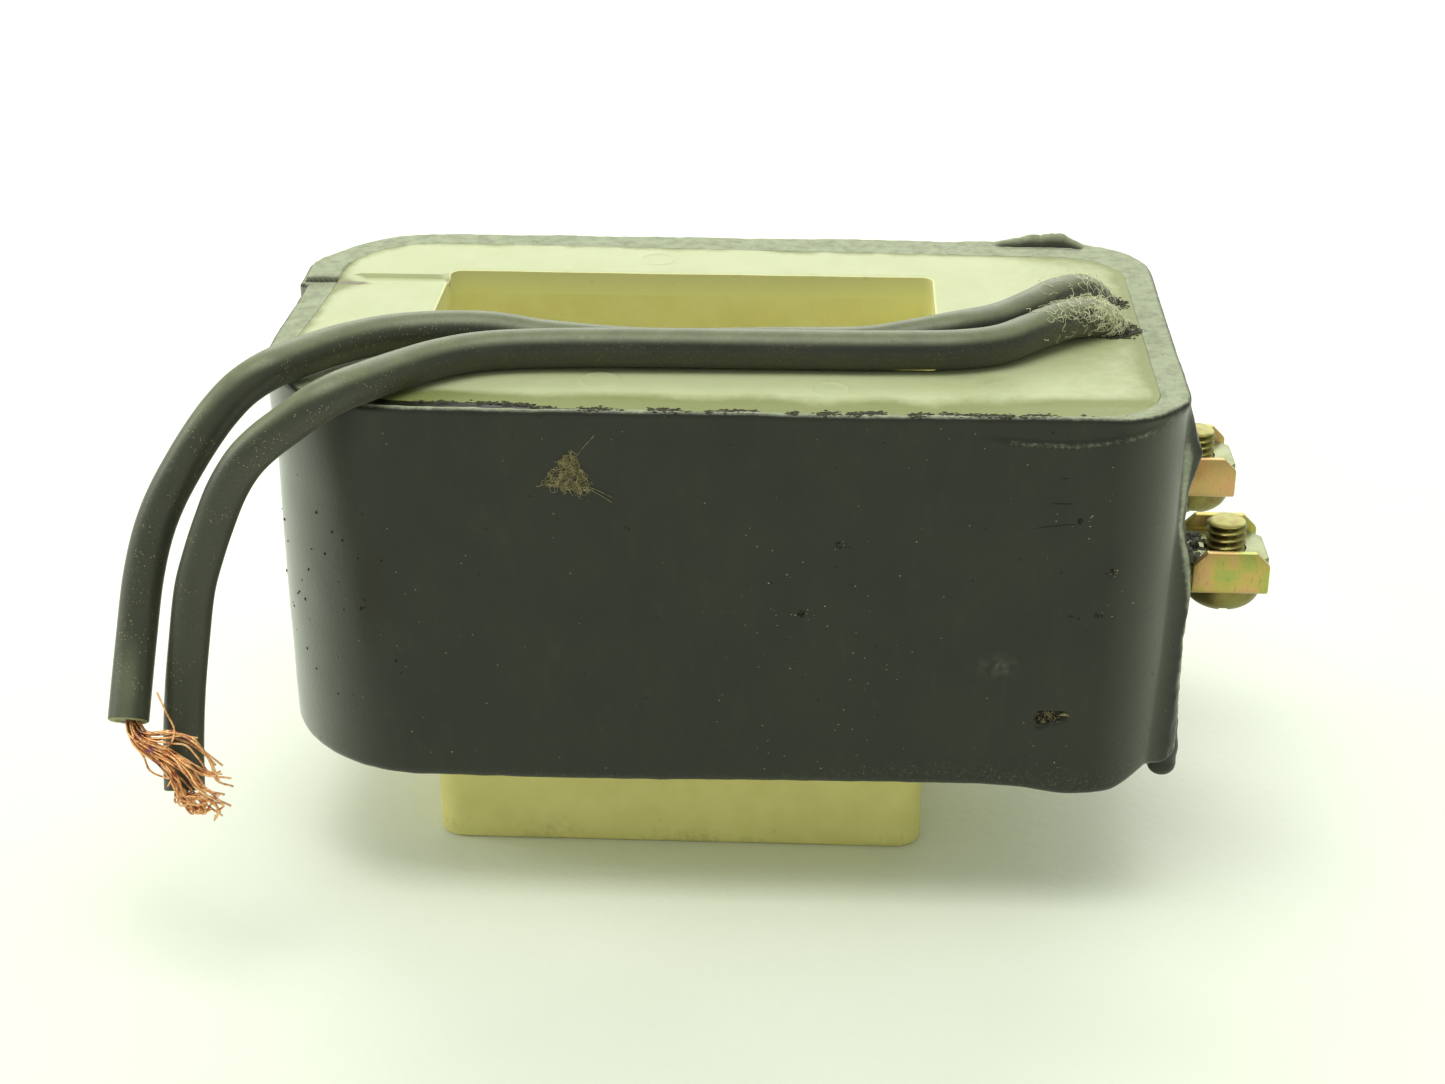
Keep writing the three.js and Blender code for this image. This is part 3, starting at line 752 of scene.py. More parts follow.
def rim_shape(share, edge_height, flat):
    """Height, chalkiness and painted shade across the rim: share is 0 at the outer edge and 1 at the flange,
    and flat is where each station's point is."""
    x, y = case_loop.T
    place = at_height(case_loop * (1 - 0.1 * share), 0)
    height = edge_height + (TOP - edge_height) * share + 0.05 * wobble(place, 0.9, 12)
    back = smoothstep(y, BACK - 4, BACK - 1)
    # A torn flap curls up from the back edge, with painted shade at its foot and in its crease.
    rise = np.interp(x, *zip(*FLAP_OUTLINE)) * back
    flap = smoothstep(rise, 0, 0.3)
    ragged = 1 + 0.14 * wobble(place, 1.4, 13) + 0.12 * wobble(place, 0.5, 17)
    height = height + rise * ragged * smoothstep(share, 0.22, 0.05)
    foot = flap * smoothstep(share, 0.1, 0.15) * smoothstep(share, 0.34, 0.26)
    height -= 0.35 * foot
    # A slit crosses the rim at the left end.
    left = smoothstep(x, LEFT + 9, LEFT + 5)
    behind = flat[:, 1] - SLIT_Y
    at_left = left * smoothstep(y, 0, 6)
    slit = at_left * bell(behind - 0.1, 0.22)
    height -= 1.6 * slit
    height += 0.3 * left * smoothstep(behind, 0, 0.4) * smoothstep(y, 20, 14)
    wedge = left * smoothstep(behind, -2.6, -0.2) * smoothstep(behind, 0.2, 0)
    crease = 0.45 * flap * bell(share - 0.42, 0.05)
    # Painted shade in the slit, under the flap's foot and in its crease; the strip just before the slit is
    # darker too.
    slit_shade = at_left * bell(behind - 0.1, 0.4)
    grime = np.clip(1.3 * slit_shade + 0.97 * foot + crease + 0.35 * wedge, 0, 1)
    # The rim is dark where it is narrow, along the left of the front edge.
    bare = smoothstep(y, FRONT + 4, FRONT + 2) * smoothstep(x, -5, -22) * smoothstep(share, 0.1, 0.2)
    chalk = 0.66 + 0.08 * wobble(place, 3, 14) - 0.5 * bare
    return height, chalk, grime


def case_shell():
    """The case as one closed shell: wall, rim, seats for both flanges and the pocket for the windings."""
    pocket = rounded_loop(WRAP_LOW[0] - SEAT_GAP, WRAP_HIGH[0] + SEAT_GAP, WRAP_LOW[1] - SEAT_GAP,
                          WRAP_HIGH[1] + SEAT_GAP, (WINDING_CORNER,) * 4)
    seat_depth = PLATE + SEAT_GAP
    rows = []
    marks = {"chalk": [], "grime": [], "scuff": [], "bloom": []}
    x, y = case_loop.T
    # Painted sheen where the wall turns to the sides, at the left end and round the right-hand corner: paler
    # colour standing in for the grazing reflection.
    bloom = 0.88 * np.clip(-case_out[:, 0], 0, 1) ** 2.5 + 0.58 * np.clip(case_out[:, 0], 0, 1) ** 1.3

    def add(row, **amounts):
        rows.append(row)
        for key, values in marks.items():
            values.append(amounts.get(key, 0) + np.zeros(len(case_loop)))

    add(at_height(pocket, BOTTOM + seat_depth))
    add(at_height(seat_loop, BOTTOM + seat_depth))
    low = bottom_height()
    inner_edge = case_loop - case_out * BOTTOM_RADIUS
    for share in np.linspace(0, 1, 6):
        flat = seat_loop + (inner_edge - seat_loop) * share
        add(at_height(flat, BOTTOM + (low - BOTTOM) * share), chalk=0.2)
    offset = wall_offset(BOTTOM + BOTTOM_RADIUS)
    for turn in np.linspace(0, math.pi / 2, 6)[1:]:
        inward = BOTTOM_RADIUS * (1 - math.sin(turn))
        height = low + BOTTOM_RADIUS * (1 - math.cos(turn))
        flat = case_loop + case_out * (offset * math.sin(turn) - inward)[:, None]
        add(at_height(flat, height), scuff=0.5, bloom=bloom * (1 - flash_mask(BOTTOM)))
    high = top_height()
    on_right = smoothstep(x, RIGHT - 5, RIGHT - 1.5)
    crest = bell(y - FLASH_Y + 1.45, 0.45) * on_right
    step_height, step = step_line()
    # The rows lie closer together near the top, where the step and the rim's dust are.
    lower, upper = np.linspace(BOTTOM + 1.4, 50, 96), np.linspace(50.3, TOP - EDGE_RADIUS - 0.1, 20)
    for z in (*lower, *upper):
        share = (z - BOTTOM) / (TOP - BOTTOM)
        z_row = z + (low - BOTTOM) * (1 - share) ** 6 + (high - TOP) * share ** 8
        near_edge = smoothstep(z, TOP - 1.0, TOP - 0.3) * smoothstep(y, -18, 0)
        lip = 0.38 * step * bell(z - step_height + 0.05, 0.5)
        low_right = smoothstep(z, 24, 15) ** 0.6 * smoothstep(x, -25, 20)
        flash = flash_mask(z)
        # The flash is chalky along its crest, most of all where it was trimmed near the bottom.
        trimmed = 0.6 + 0.3 * bell(z - 24.6, 2.2) + 0.25 * bell(z - 16.6, 1.2)
        # A pale smudge on the front face goes into the same attribute as the painted sheen.
        smudge = bell(x - 28.4, 1.5) * bell(z - 28.9, 1.0) * smoothstep(y, FRONT + 2, FRONT)
        smudge *= np.clip(0.16 + 0.5 * wobble(at_height(case_loop, z), 0.8, 44, 3), 0, 1)
        # Painted shade on the flash's front-facing side below its crest, and in the gouge.
        add(at_height(case_loop + case_out * wall_offset(z)[:, None], z_row),
            chalk=np.maximum(0.45 * near_edge + trimmed * crest * smoothstep(z, 54, 50), lip),
            grime=np.maximum(0.3 * flash * (1 - crest), 0.85 * gouge_depth(z)),
            scuff=0.38 * low_right + 0.2 * smoothstep(x, -40, -46) + 0.15,
            bloom=bloom * (1 - flash) + smudge)
    offset = wall_offset(TOP)
    for turn in np.linspace(0, math.pi / 2, 5)[1:]:
        inward = EDGE_RADIUS * (1 - math.cos(turn))
        height = high - EDGE_RADIUS * (1 - math.sin(turn))
        flat = case_loop + case_out * (offset - inward)[:, None]
        add(at_height(flat, height), chalk=0.1 + 0.32 * turn, scuff=0.3)
    edge = case_loop + case_out * (offset - EDGE_RADIUS)[:, None]
    for share in np.linspace(0, 1, 30)[1:]:
        flat = edge + (seat_loop - edge) * share
        height, chalk, grime = rim_shape(share, high, flat)
        add(at_height(flat, height), chalk=chalk, grime=grime)
    add(at_height(seat_loop, TOP - seat_depth))
    add(at_height(pocket, TOP - seat_depth))
    points, faces = loft(rows)
    values = {key: np.concatenate(rows_of_values) for key, rows_of_values in marks.items()}
    mesh_piece("case_shell", points, faces, "rubber", replaces=["case_jacket"],
               values=values)


# ---- bobbin ----

PIN_MARKS = ((-11.7, -18.5), (11.1, -20.0), (-8.6, 18.6))
PIN_RADIUS = 1.8
CHAMFER = 0.3
GROOVE = (-41.0, WINDOW[0], 9.9, 12.2)
LEAD_HOLE = 4.8


def inside(points, loop):
    """Whether each point is inside a closed loop."""
    x, y = points.T
    result = np.zeros(len(points), bool)
    for (x0, y0), (x1, y1) in zip(loop, np.roll(loop, -1, 0)):
        crosses = (y0 > y) != (y1 > y)
        if y0 != y1:
            result ^= crosses & (x < (x1 - x0) * (y - y0) / (y1 - y0) + x0)
    return result


def window_loop(grow=0.0, radius=1.2, steps=6, front_inset=0.0):
    left, right, front, back = WINDOW
    left, right, front, back = left - grow, right + grow, front - grow + front_inset, back + grow
    radius += grow
    points = []
    corners = (
        (right - radius, front + radius, -90), (right - radius, back - radius, 0),
        (left + radius, back - radius, 90), (left + radius, front + radius, 180),
    )
    for x, y, start in corners:
        for k in range(steps + 1):
            turn = math.radians(start + 90 * k / steps)
            points.append((x + radius * math.cos(turn), y + radius * math.sin(turn)))
    filled = []
    for (x0, y0), (x1, y1) in zip(points, points[1:] + points[:1]):
        count = max(1, round(math.hypot(x1 - x0, y1 - y0) / 0.7))
        filled += [(x0 + (x1 - x0) * k / count, y0 + (y1 - y0) * k / count) for k in range(count)]
    return np.array(filled)


def circle(x, y, radius, count):
    turns = np.linspace(0, 2 * math.pi, count, endpoint=False)
    return np.column_stack((x + radius * np.cos(turns), y + radius * np.sin(turns)))


def lead_hole(route):
    x, y, _ = route[2]
    return circle(x, y, LEAD_HOLE / 2 + 0.35, 28)


def plate_surface(outer, holes, extra, spacing=0.75):
    """Triangles that fill outer and leave the holes open, through a loose grid and the extra points."""
    low, high = outer.min(0), outer.max(0)
    columns, lines = (np.arange(low[i], high[i], spacing) for i in (0, 1))
    grid = np.array([(x, y) for x in columns for y in lines])
    grid = grid + 0.15 * np.column_stack([wobble(at_height(grid, 0), 1, seed) for seed in (20, 21)])
    centre = (low + high) / 2
    shrunk = centre + (outer - centre) * 0.992
    keep = inside(grid, shrunk)
    for hole in holes:
        middle = hole.mean(0)
        keep &= ~inside(grid, middle + (hole - middle) * 1.03)
    loops = [outer, *holes]
    points = np.concatenate([*loops, *extra, grid[keep]])
    edges, start = [], 0
    for loop in loops:
        edges += [(start + k, start + (k + 1) % len(loop)) for k in range(len(loop))]
        start += len(loop)
    verts, _, triangles, *_ = delaunay_2d_cdt([Vector(p) for p in points], edges, [], 0, 1e-5)
    flat = np.array([tuple(v) for v in verts])
    centres = flat[np.array(triangles)].mean(1)
    good = inside(centres, outer)
    for hole in holes:
        good &= ~inside(centres, hole)
    return flat, [tuple(t) for t, ok in zip(triangles, good) if ok]


def plate_solid(flat, triangles, top, bottom):
    """A solid between two height fields over the same triangles."""
    count = len(flat)
    points = np.concatenate((at_height(flat, top), at_height(flat, bottom)))
    faces = list(triangles) + [tuple(count + i for i in reversed(t)) for t in triangles]
    directed = {(t[k], t[(k + 1) % 3]) for t in triangles for k in range(3)}
    faces += [(b, a, count + a, count + b) for a, b in directed if (b, a) not in directed]
    used = np.unique(np.concatenate([np.array(face) for face in faces]))
    index = {old: new for new, old in enumerate(used)}
    return points[used], [tuple(index[i] for i in face) for face in faces], used


def distance_to(points, loop):
    """How far each point is from the nearest corner of a dense loop."""
    return np.array([np.hypot(*(loop - p).T).min() for p in points])


def top_flange_plate():
    outer = (seat_loop - outward(seat_loop) * 0.05)[::2]
    window = window_loop(front_inset=WINDOW_LEDGE)
    holes = [window] + [lead_hole(route) for route in LEAD_ROUTES.values()]
    extra = [window_loop(CHAMFER, front_inset=WINDOW_LEDGE)]
    for x, y in PIN_MARKS:
        extra += [circle(x, y, PIN_RADIUS + grow, 36) for grow in (-0.35, -0.15, 0, 0.2)]
    left, right, front, back = GROOVE
    for y in (front - 0.1, front + 0.12, back - 0.12, back + 0.1):
        along = np.arange(left, right - 0.5, 0.5)
        extra.append(np.column_stack((along, np.full(len(along), y))))
    flat, triangles = plate_surface(outer, holes, extra)
    place = at_height(flat, 0)
    x, y = flat.T
    top = TOP + 0.05 * wobble(place, 9, 22) + 0.015 * wobble(place, 1.2, 23)
    near_window = distance_to(flat, window)
    top -= 0.07 * smoothstep(near_window, CHAMFER * 0.8, 0)
    for px, py in PIN_MARKS:
        away = np.hypot(x - px, y - py)
        top += 0.09 * bell(away - PIN_RADIUS, 0.14)
    in_groove = smoothstep(y, front - 0.08, front + 0.1) * smoothstep(y, back + 0.08, back - 0.1)
    in_groove *= smoothstep(x, left - 0.3, left + 0.2) * smoothstep(x, right + 0.5, right)
    top -= 0.45 * in_groove
    # The front edge is a little lower, and sinks in the middle of the front strip.
    top -= 0.15 * smoothstep(y, -21.9, -22.8) * smoothstep(x, -14, -4)
    from_front = y - (FRONT + 0.8)
    patchy = 0.75 + 0.5 * wobble(place, 6, 29)
    dirt = 0.34 * smoothstep(from_front, 2.4, 0.2) * smoothstep(x, 45, 20) * patchy
    at_window = smoothstep(near_window, 0.9, 0.1) * smoothstep(y, 0, 8)
    dirt += 0.6 * at_window * (0.5 + 0.6 * wobble(place, 1.6, 24))
    dirt += 0.9 * smoothstep(np.hypot(x + 41.5, (y - 9.0) * 3), 4.5, 0.5)
    # Painted shade in the groove.
    dirt += 0.28 * in_groove
    for px, py in PIN_MARKS:
        dirt += 0.3 * bell(np.hypot(x - px, y - py) - PIN_RADIUS, 0.22)
    for route in LEAD_ROUTES.values():
        dirt += 0.6 * bell(np.hypot(x - route[2][0] - 1, y - route[2][1]), 3.0)
    haze = 1.15 * smoothstep(from_front, 6.0, 2.0) * patchy
    haze += 0.8 * np.exp(-distance_to(flat, outer) / 1.1) * (1 + 0.7 * wobble(place, 2.5, 45))
    haze += 0.45 * smoothstep(x, 22, 40) + 0.5 * smoothstep(np.hypot(x + 43, (y - 8.6) * 2), 7, 1)
    haze += 0.35 * smoothstep(np.hypot(x - 25, (y + 18) * 1.6), 9, 2)
    bottom = np.where(near_window < 0.01, TUBE_HIGH[2], TOP - PLATE)
    points, faces, used = plate_solid(flat, triangles, top, bottom)
    wall = np.concatenate((0.5 * smoothstep(near_window, 0.05, 0), np.ones(len(flat))))
    dirt = np.concatenate((dirt, np.zeros(len(dirt))))
    haze = np.concatenate((haze, haze))
    values = {"dirt": dirt[used], "haze": haze[used], "wall": wall[used]}
    piece = mesh_piece("top_flange_plate", points, faces, "ivory",
                       replaces=["top_flange"], values=values)
    piece.data.set_sharp_from_angle(angle=math.radians(50))


def bottom_flange_plate():
    low, high = node_box("bottom_flange")
    outer = rounded_loop(low[0], high[0], low[1], high[1], FLANGE_RADII)[::3]
    flat, triangles = plate_surface(outer, [window_loop()], [window_loop(CHAMFER)], 1.5)
    bottom = BOTTOM + 0.05 * wobble(at_height(flat, 0), 8, 25)
    points, faces, used = plate_solid(flat, triangles, BOTTOM + PLATE, bottom)
    dirt = 0.2 + 0.3 * wobble(points, 6, 26)
    piece = mesh_piece("bottom_flange_plate", points, faces, "ivory",
                       replaces=["bottom_flange"], values={"dirt": dirt})
    piece.data.set_sharp_from_angle(angle=math.radians(50))


SLEEVE_RADIUS = 2.8
SLEEVE_WALL = 1.0
SLEEVE_EDGE = 0.4


def core_sleeve():
    """A rectangular tube with rounded corners and rounded ends."""
    low, high = SLEEVE_LOW, SLEEVE_HIGH
    wall, edge = SLEEVE_WALL, SLEEVE_EDGE

    def loop(shrink):
        corner = max(SLEEVE_RADIUS - shrink, 0.3)
        size = (low[0] + shrink, high[0] - shrink, low[1] + shrink, high[1] - shrink)
        return rounded_loop(*size, (corner,) * 4)[::3]

    heights = np.arange(low[2] + 1.5, high[2] - 1, 2.0)
    rows = [at_height(loop(edge), low[2]), at_height(loop(edge * 0.3), low[2] + edge * 0.3)]
    rows.append(at_height(loop(0), low[2] + edge))
    rows += [at_height(loop(0), z) for z in heights]
    rows += [at_height(loop(0), high[2] - edge), at_height(loop(edge), high[2])]
    rows += [at_height(loop(wall - edge / 2), high[2]), at_height(loop(wall), high[2] - edge)]
    rows += [at_height(loop(wall), z) for z in heights[::-1]]
    rows += [at_height(loop(wall), low[2] + edge), at_height(loop(wall - edge / 2), low[2])]
    points, faces = loft(rows)
    points = points + 0.02 * wobble(points, 3, 27)[:, None]
    points[:, 2] = np.maximum(points[:, 2], low[2])
    # Darker towards the bottom, below 6 mm.
    dirt = 0.12 + 0.22 * wobble(points, 5, 28) + 0.3 * smoothstep(points[:, 2], 6, 0)
    mesh_piece("core_sleeve_liner", points, faces, "olive", replaces=["core_sleeve"],
               values={"dirt": dirt})


# ---- leads ----

STRAND_SPREAD = 0.6


def basis(direction):
    """Two directions at right angles to a direction and to each other."""
    direction = direction / np.linalg.norm(direction)
    helper = np.array((0.0, 0.0, 1.0)) if abs(direction[2]) < 0.9 else np.array((0.0, 1.0, 0.0))
    first = np.cross(direction, helper)
    first /= np.linalg.norm(first)
    return first, np.cross(direction, first)


def cut_face(name, line):
    """The cut end of a lead: the insulation's ring, slightly ragged, with a recessed middle."""
    end, direction = line[-1], line[-1] - line[-3]
    direction /= np.linalg.norm(direction)
    first, second = basis(direction)
    rings = ((1.7, -0.9), (1.93, 0.01), (1.86, 0.07), (1.3, 0.1), (1.18, 0.02), (1.1, -0.8))
    count = 40
    rows = []
    for radius, along in rings:
        turns = np.linspace(0, 2 * math.pi, count, endpoint=False)
        around = np.outer(np.cos(turns), first) + np.outer(np.sin(turns), second)
        row = end + direction * along + radius * around
        ragged = 0.08 * wobble(row, 0.5, 31) if along > 0.05 else 0
        rows.append(row + np.outer(ragged * np.ones(count), direction))
    points, faces = loft(rows)
    return mesh_piece(name, points, faces, "cut_end")


def strand_bundle(name, node, groups, seed):
    """Bare strands. Each group is a number of strands and the path they follow, loosely."""
    draw = random.Random(seed)
    lines = []
    for count, path in groups:
        path = np.array(path, float)
        for _ in range(count):
            turn = draw.uniform(0, 2 * math.pi)
            reach = STRAND_SPREAD * math.sqrt(draw.random())
            last = len(path) if draw.random() < 0.5 else draw.randint(max(3, len(path) - 3), len(path))
            line = []
            for k in range(last):
                first, second = basis(path[min(k + 1, len(path) - 1)] - path[max(k - 1, 0)])
                turn += draw.gauss(0.25, 0.25)
                place = path[k] + reach * (math.cos(turn) * first + math.sin(turn) * second)
                line.append(place + [draw.gauss(0, 0.05 * k) for _ in range(3)])
            lines.append(catmull_rom(line, 5))
    return curve_piece(name, lines, STRAND_DIAMETER, "copper", replaces=[node],
                       resolution=1)


# Each group of strands: how many there are, and the path they follow.
REAR_STRANDS = (
    (7, (
        (-56.4, -37.6, 27.4), (-56, -39, 26.3), (-54.6, -40.4, 25.8), (-52.2, -41.4, 25.5),
        (-49.9, -42.3, 24.6), (-48.4, -42.5, 23.8), (-47.2, -42.5, 23.4)
    )),
    (7, (
        (-56.6, -37.8, 27.3), (-56.3, -39, 25.9), (-54.3, -40.5, 25.3), (-51.3, -42, 24.6),
        (-49.9, -42.5, 23.6), (-48.6, -42.8, 22.5), (-46.7, -43, 21.5)
    )),
    (3, (
        (-56.4, -37.7, 27.3), (-54.8, -39.6, 26.4), (-52.1, -41, 27.2), (-50.3, -42, 27.8),
        (-48.6, -42.5, 27.3), (-47.7, -42.6, 25.2), (-47.3, -42.5, 22.6), (-46.1, -42.3, 21.7)
    )),
    (3, (
        (-56.3, -37.7, 27.2), (-54.4, -40, 26.2), (-51.5, -41.5, 26.9), (-49.8, -42.3, 26.7),
        (-48.4, -42.6, 25.6), (-47.4, -42.6, 24.4), (-45.6, -42.3, 22.9)
    )),
    (8, (
        (-56.5, -37.7, 27.2), (-55.2, -39.8, 25.4), (-52.9, -40.8, 24.1), (-51.5, -41.8, 23.5),
        (-51, -42.4, 22.5), (-50.2, -42.8, 21.5), (-48.9, -43, 21.3), (-47.7, -43, 21.1),
        (-46.6, -43, 20.5), (-47.1, -42.6, 20)
    )),
    (1, (
        (-56.5, -37.7, 27.1), (-55.6, -39.5, 24.8), (-55.3, -39.4, 23.3), (-54.6, -39.5, 22.2),
        (-53.2, -40.5, 22), (-51.5, -41.8, 22.3)
    )),
    (1, (
        (-56.3, -37.7, 27.2), (-53.4, -40.6, 25), (-51.7, -42, 23.4), (-51.7, -42, 21.9), (-53.2, -42, 20.1)
    )),
    (1, (
        (-56.3, -37.7, 27.2), (-53, -40.8, 25.6), (-51.5, -42, 26.4), (-51.1, -42.3, 28.4),
        (-51.7, -41.5, 30.1), (-52.5, -40.2, 31.6)
    )),
    (3, (
        (-56.4, -37.7, 27.2), (-53, -41, 25), (-50.5, -42.2, 23), (-48.7, -42.8, 21), (-47.9, -42.6, 19.9),
        (-47, -42.4, 19)
    )),
)
FRONT_STRANDS = (
    (7, (
        (-51.5, -38.9, 21.2), (-51.5, -40.8, 20.2), (-51.2, -41.5, 19.6), (-50.1, -41.8, 19.4),
        (-49, -42, 19.1), (-48.4, -42, 20.3)
    )),
    (6, (
        (-51.2, -38.9, 21), (-50.9, -40.6, 19.4), (-50.2, -41.4, 18.9), (-49.2, -41.7, 19.3),
        (-49, -41.9, 20.4), (-49.8, -42.2, 21.2)
    )),
    (5, (
        (-51.6, -38.9, 21), (-51.6, -40.9, 19.6), (-50.8, -41.6, 20.6), (-49.9, -42, 20.3),
        (-49.1, -42.2, 19.5)
    )),
)


def leads():
    bundles = {"rear": REAR_STRANDS, "front": FRONT_STRANDS}
    for side, groups in bundles.items():
        line = catmull_rom(LEAD_ROUTES[f"{side}_lead"], 8)
        lead = curve_piece(f"{side}_lead_cable", [line], LEAD_DIAMETER, "lead",
                           replaces=[f"{side}_lead"], resolution=7)
        end = cut_face(f"{side}_lead_cut_face", line)
        strands = strand_bundle(f"{side}_lead_copper", f"{side}_lead_strands", groups, 5)


# ---- screw terminals ----

TERMINAL_X = 52.3
TERMINAL_Y = 12.1
TAB_TOP = 35.8
# The screw thread: No. 8-32.
PITCH = 25.4 / 32
THREAD_DIAMETER = 4.17
THREAD_DEPTH = 0.42
HEAD_SEAT = 32.55
SLOT_WIDTH = 1.1
SLOT_DEPTH = 1.1
SADDLE_HOLE = 4.8
TAB_HOLE = 4.4
# Edges that turn by more than this are bevelled and shaded as sharp.
SHARP = math.radians(35)


def from_bmesh(name, work, look, body, replaces, bevel, segments):
    """A piece from a bmesh in millimetres, its edges rounded by a bevel."""
    inner = [edge for edge in work.edges if len(edge.link_faces) == 2]
    sharp = [edge for edge in inner if edge.calc_face_angle() > SHARP]
    bmesh.ops.bevel(work, geom=sharp, offset=bevel, segments=segments, profile=0.5, affect="EDGES",
                    clamp_overlap=True)
    bmesh.ops.triangulate(work, faces=[f for f in work.faces if len(f.verts) > 4])
    for vertex in work.verts:
        vertex.co = to_frame(vertex.co)
    mesh = bpy.data.meshes.new(name)
    work.to_mesh(mesh)
    work.free()
    mesh.polygons.foreach_set("use_smooth", [True] * len(mesh.polygons))
    mesh.set_sharp_from_angle(angle=SHARP)
    return settle(bpy.data.objects.new(name, mesh), look, body, replaces)


def prism(work, outline, depth):
    """Adds a prism to a bmesh: outline is a closed list of 3-D points, pushed along depth."""
    base = [work.verts.new(Vector(p)) for p in outline]
    cap = [work.verts.new(Vector(p) + Vector(depth)) for p in outline]
    work.faces.new(list(reversed(base)))
    work.faces.new(cap)
    for k in range(len(base)):
        n = (k + 1) % len(base)
        work.faces.new((base[k], base[n], cap[n], cap[k]))


def screw_shape(y):
    """Rows of points for a round-head screw, head down, with a helical thread, and how much painted shade
    each gets: some on the head, more in the thread's valleys.
    """
    around = 48
    turns = np.linspace(0, 2 * math.pi, around, endpoint=False)
    low, high = node_box("front_clamp_screw")
    seat = HEAD_SEAT
    tip = high[2]
    head = (high[0] - low[0]) / 2
    rows = []
    for k in range(15):
        angle = 0.04 + (math.pi / 2 - 0.04) * k / 14
        rows.append((head * math.sin(angle), seat - 1 - (seat - 1 - low[2]) * math.cos(angle)))
    rows += [(head, seat - 0.12), (head - 0.12, seat), (2.2, seat)]
    points = [np.column_stack((TERMINAL_X + r * np.cos(turns), y + r * np.sin(turns), np.full(around, z)))
              for r, z in rows]
    shade = [np.full(around, 0.42) for _ in rows]
    for z in np.arange(seat + 0.05, tip + 0.001, PITCH / 9):
        phase = (z / PITCH - turns / (2 * math.pi)) % 1
        wave = np.clip(1.25 * abs(2 * phase - 1) - 0.12, 0, 1)
        radius = THREAD_DIAMETER / 2 - THREAD_DEPTH * (1 - wave)
        radius -= 0.3 * smoothstep(z, tip - 0.2, tip) * (1 + 0.5 * np.cos(turns + 1))
        points.append(np.column_stack((TERMINAL_X + radius * np.cos(turns), y + radius * np.sin(turns),
                                       np.full(around, min(z, tip)))))
        shade.append(0.8 * smoothstep(wave, 0.75, 0.1) * smoothstep(z, tip - 0.1, tip - 0.4))
    return points, np.concatenate(shade)


def carve(piece, cutter_points, cutter_faces):
    """Cuts a shape, given in millimetres, out of a piece."""
    mesh = bpy.data.meshes.new("cutter")
    mesh.from_pydata(to_frame(cutter_points).tolist(), [], cutter_faces)
    cutter = bpy.data.objects.new("cutter", mesh)
    bpy.context.scene.collection.objects.link(cutter)
    modifier = piece.modifiers.new("cut", "BOOLEAN")
    modifier.operation = "DIFFERENCE"
    modifier.solver = "EXACT"
    modifier.object = cutter
    bpy.context.view_layer.update()
    result = bpy.data.meshes.new_from_object(piece.evaluated_get(bpy.context.evaluated_depsgraph_get()))
    piece.modifiers.remove(modifier)
    piece.data = result
    bpy.data.objects.remove(cutter)


def drill(piece, y, diameter, low, high):
    """Bores a terminal screw's hole through a piece, from one height to another."""
    hole = circle(TERMINAL_X, y, diameter / 2, 32)
    count = len(hole)
    points = np.concatenate((at_height(hole, low), at_height(hole, high)))
    faces = [tuple(reversed(range(count))), tuple(range(count, 2 * count))]
    faces += [(k, (k + 1) % count, count + (k + 1) % count, count + k) for k in range(count)]
    carve(piece, points, faces)
    piece.data.set_sharp_from_angle(angle=SHARP)


def block(x0, x1, y0, y1, z0, z1):
    """A box's corners and faces."""
    points = [(x, y, z) for z in (z0, z1) for x, y in ((x0, y0), (x1, y0), (x1, y1), (x0, y1))]
    faces = [(3, 2, 1, 0), (4, 5, 6, 7), (0, 1, 5, 4), (1, 2, 6, 5), (2, 3, 7, 6), (3, 0, 4, 7)]
    return points, faces


def clamp_screw(side, y):
    rows, shade = screw_shape(y)
    points, faces = loft(rows, closed_rows=False)
    around = len(rows[0])
    last = (len(rows) - 1) * around
    faces += [tuple(reversed(range(around))), tuple(last + k for k in range(around))]
    piece = mesh_piece(f"{side}_clamp_screw_threaded", points, faces, "screw", body=f"{side}_screw",
                       replaces=[f"{side}_clamp_screw"], values={"shade": shade})
    low, _ = node_box(f"{side}_clamp_screw")
    carve(piece, *block(TERMINAL_X - SLOT_WIDTH / 2, TERMINAL_X + SLOT_WIDTH / 2, y - 6, y + 6,
                        low[2] - 1, low[2] + SLOT_DEPTH))
    piece.data.set_sharp_from_angle(angle=math.radians(40))


def saddle(side, y):
    low, high = node_box(f"{side}_saddle_clamp")
    wall, cut, bend = 0.9, 1.4, 0.8
    work = bmesh.new()
    # The U section, bent from strip, with round outer bends.
    half = (high[1] - low[1]) / 2
    turns = np.linspace(0, math.pi / 2, 6)
    right = [(high[1] - y - bend + bend * math.sin(t), low[2] + bend - bend * math.cos(t)) for t in turns]
    left = [(-a, b) for a, b in reversed(right)]
    outline = [(-half, high[2]), *left, *right, (half, high[2]), (half - wall, high[2])]
    outline += [(half - wall, low[2] + wall + 0.3), (half - wall - 0.3, low[2] + wall),
                (-half + wall + 0.3, low[2] + wall), (-half + wall, low[2] + wall + 0.3),
                (-half + wall, high[2])]
    prism(work, [(low[0], y + a, b) for a, b in outline], (high[0] - low[0], 0, 0))
    bmesh.ops.recalc_face_normals(work, faces=work.faces)
    # Both upper corners of each ear are cut off.
    for x, lean in ((low[0], -1), (high[0], 1)):
        corner = Vector((x, 0, high[2] - cut))
        bmesh.ops.bisect_plane(work, geom=work.verts[:] + work.edges[:] + work.faces[:], plane_co=corner,
                               plane_no=Vector((lean, 0, 1)), clear_outer=True)
        edges = [e for e in work.edges if e.is_boundary]
        bmesh.ops.holes_fill(work, edges=edges)
    piece = from_bmesh(f"{side}_saddle_strip", work, "zinc", f"{side}_saddle",
                       [f"{side}_saddle_clamp"], bevel=0.12, segments=2)
    drill(piece, y, SADDLE_HOLE, low[2] - 1, low[2] + 2)


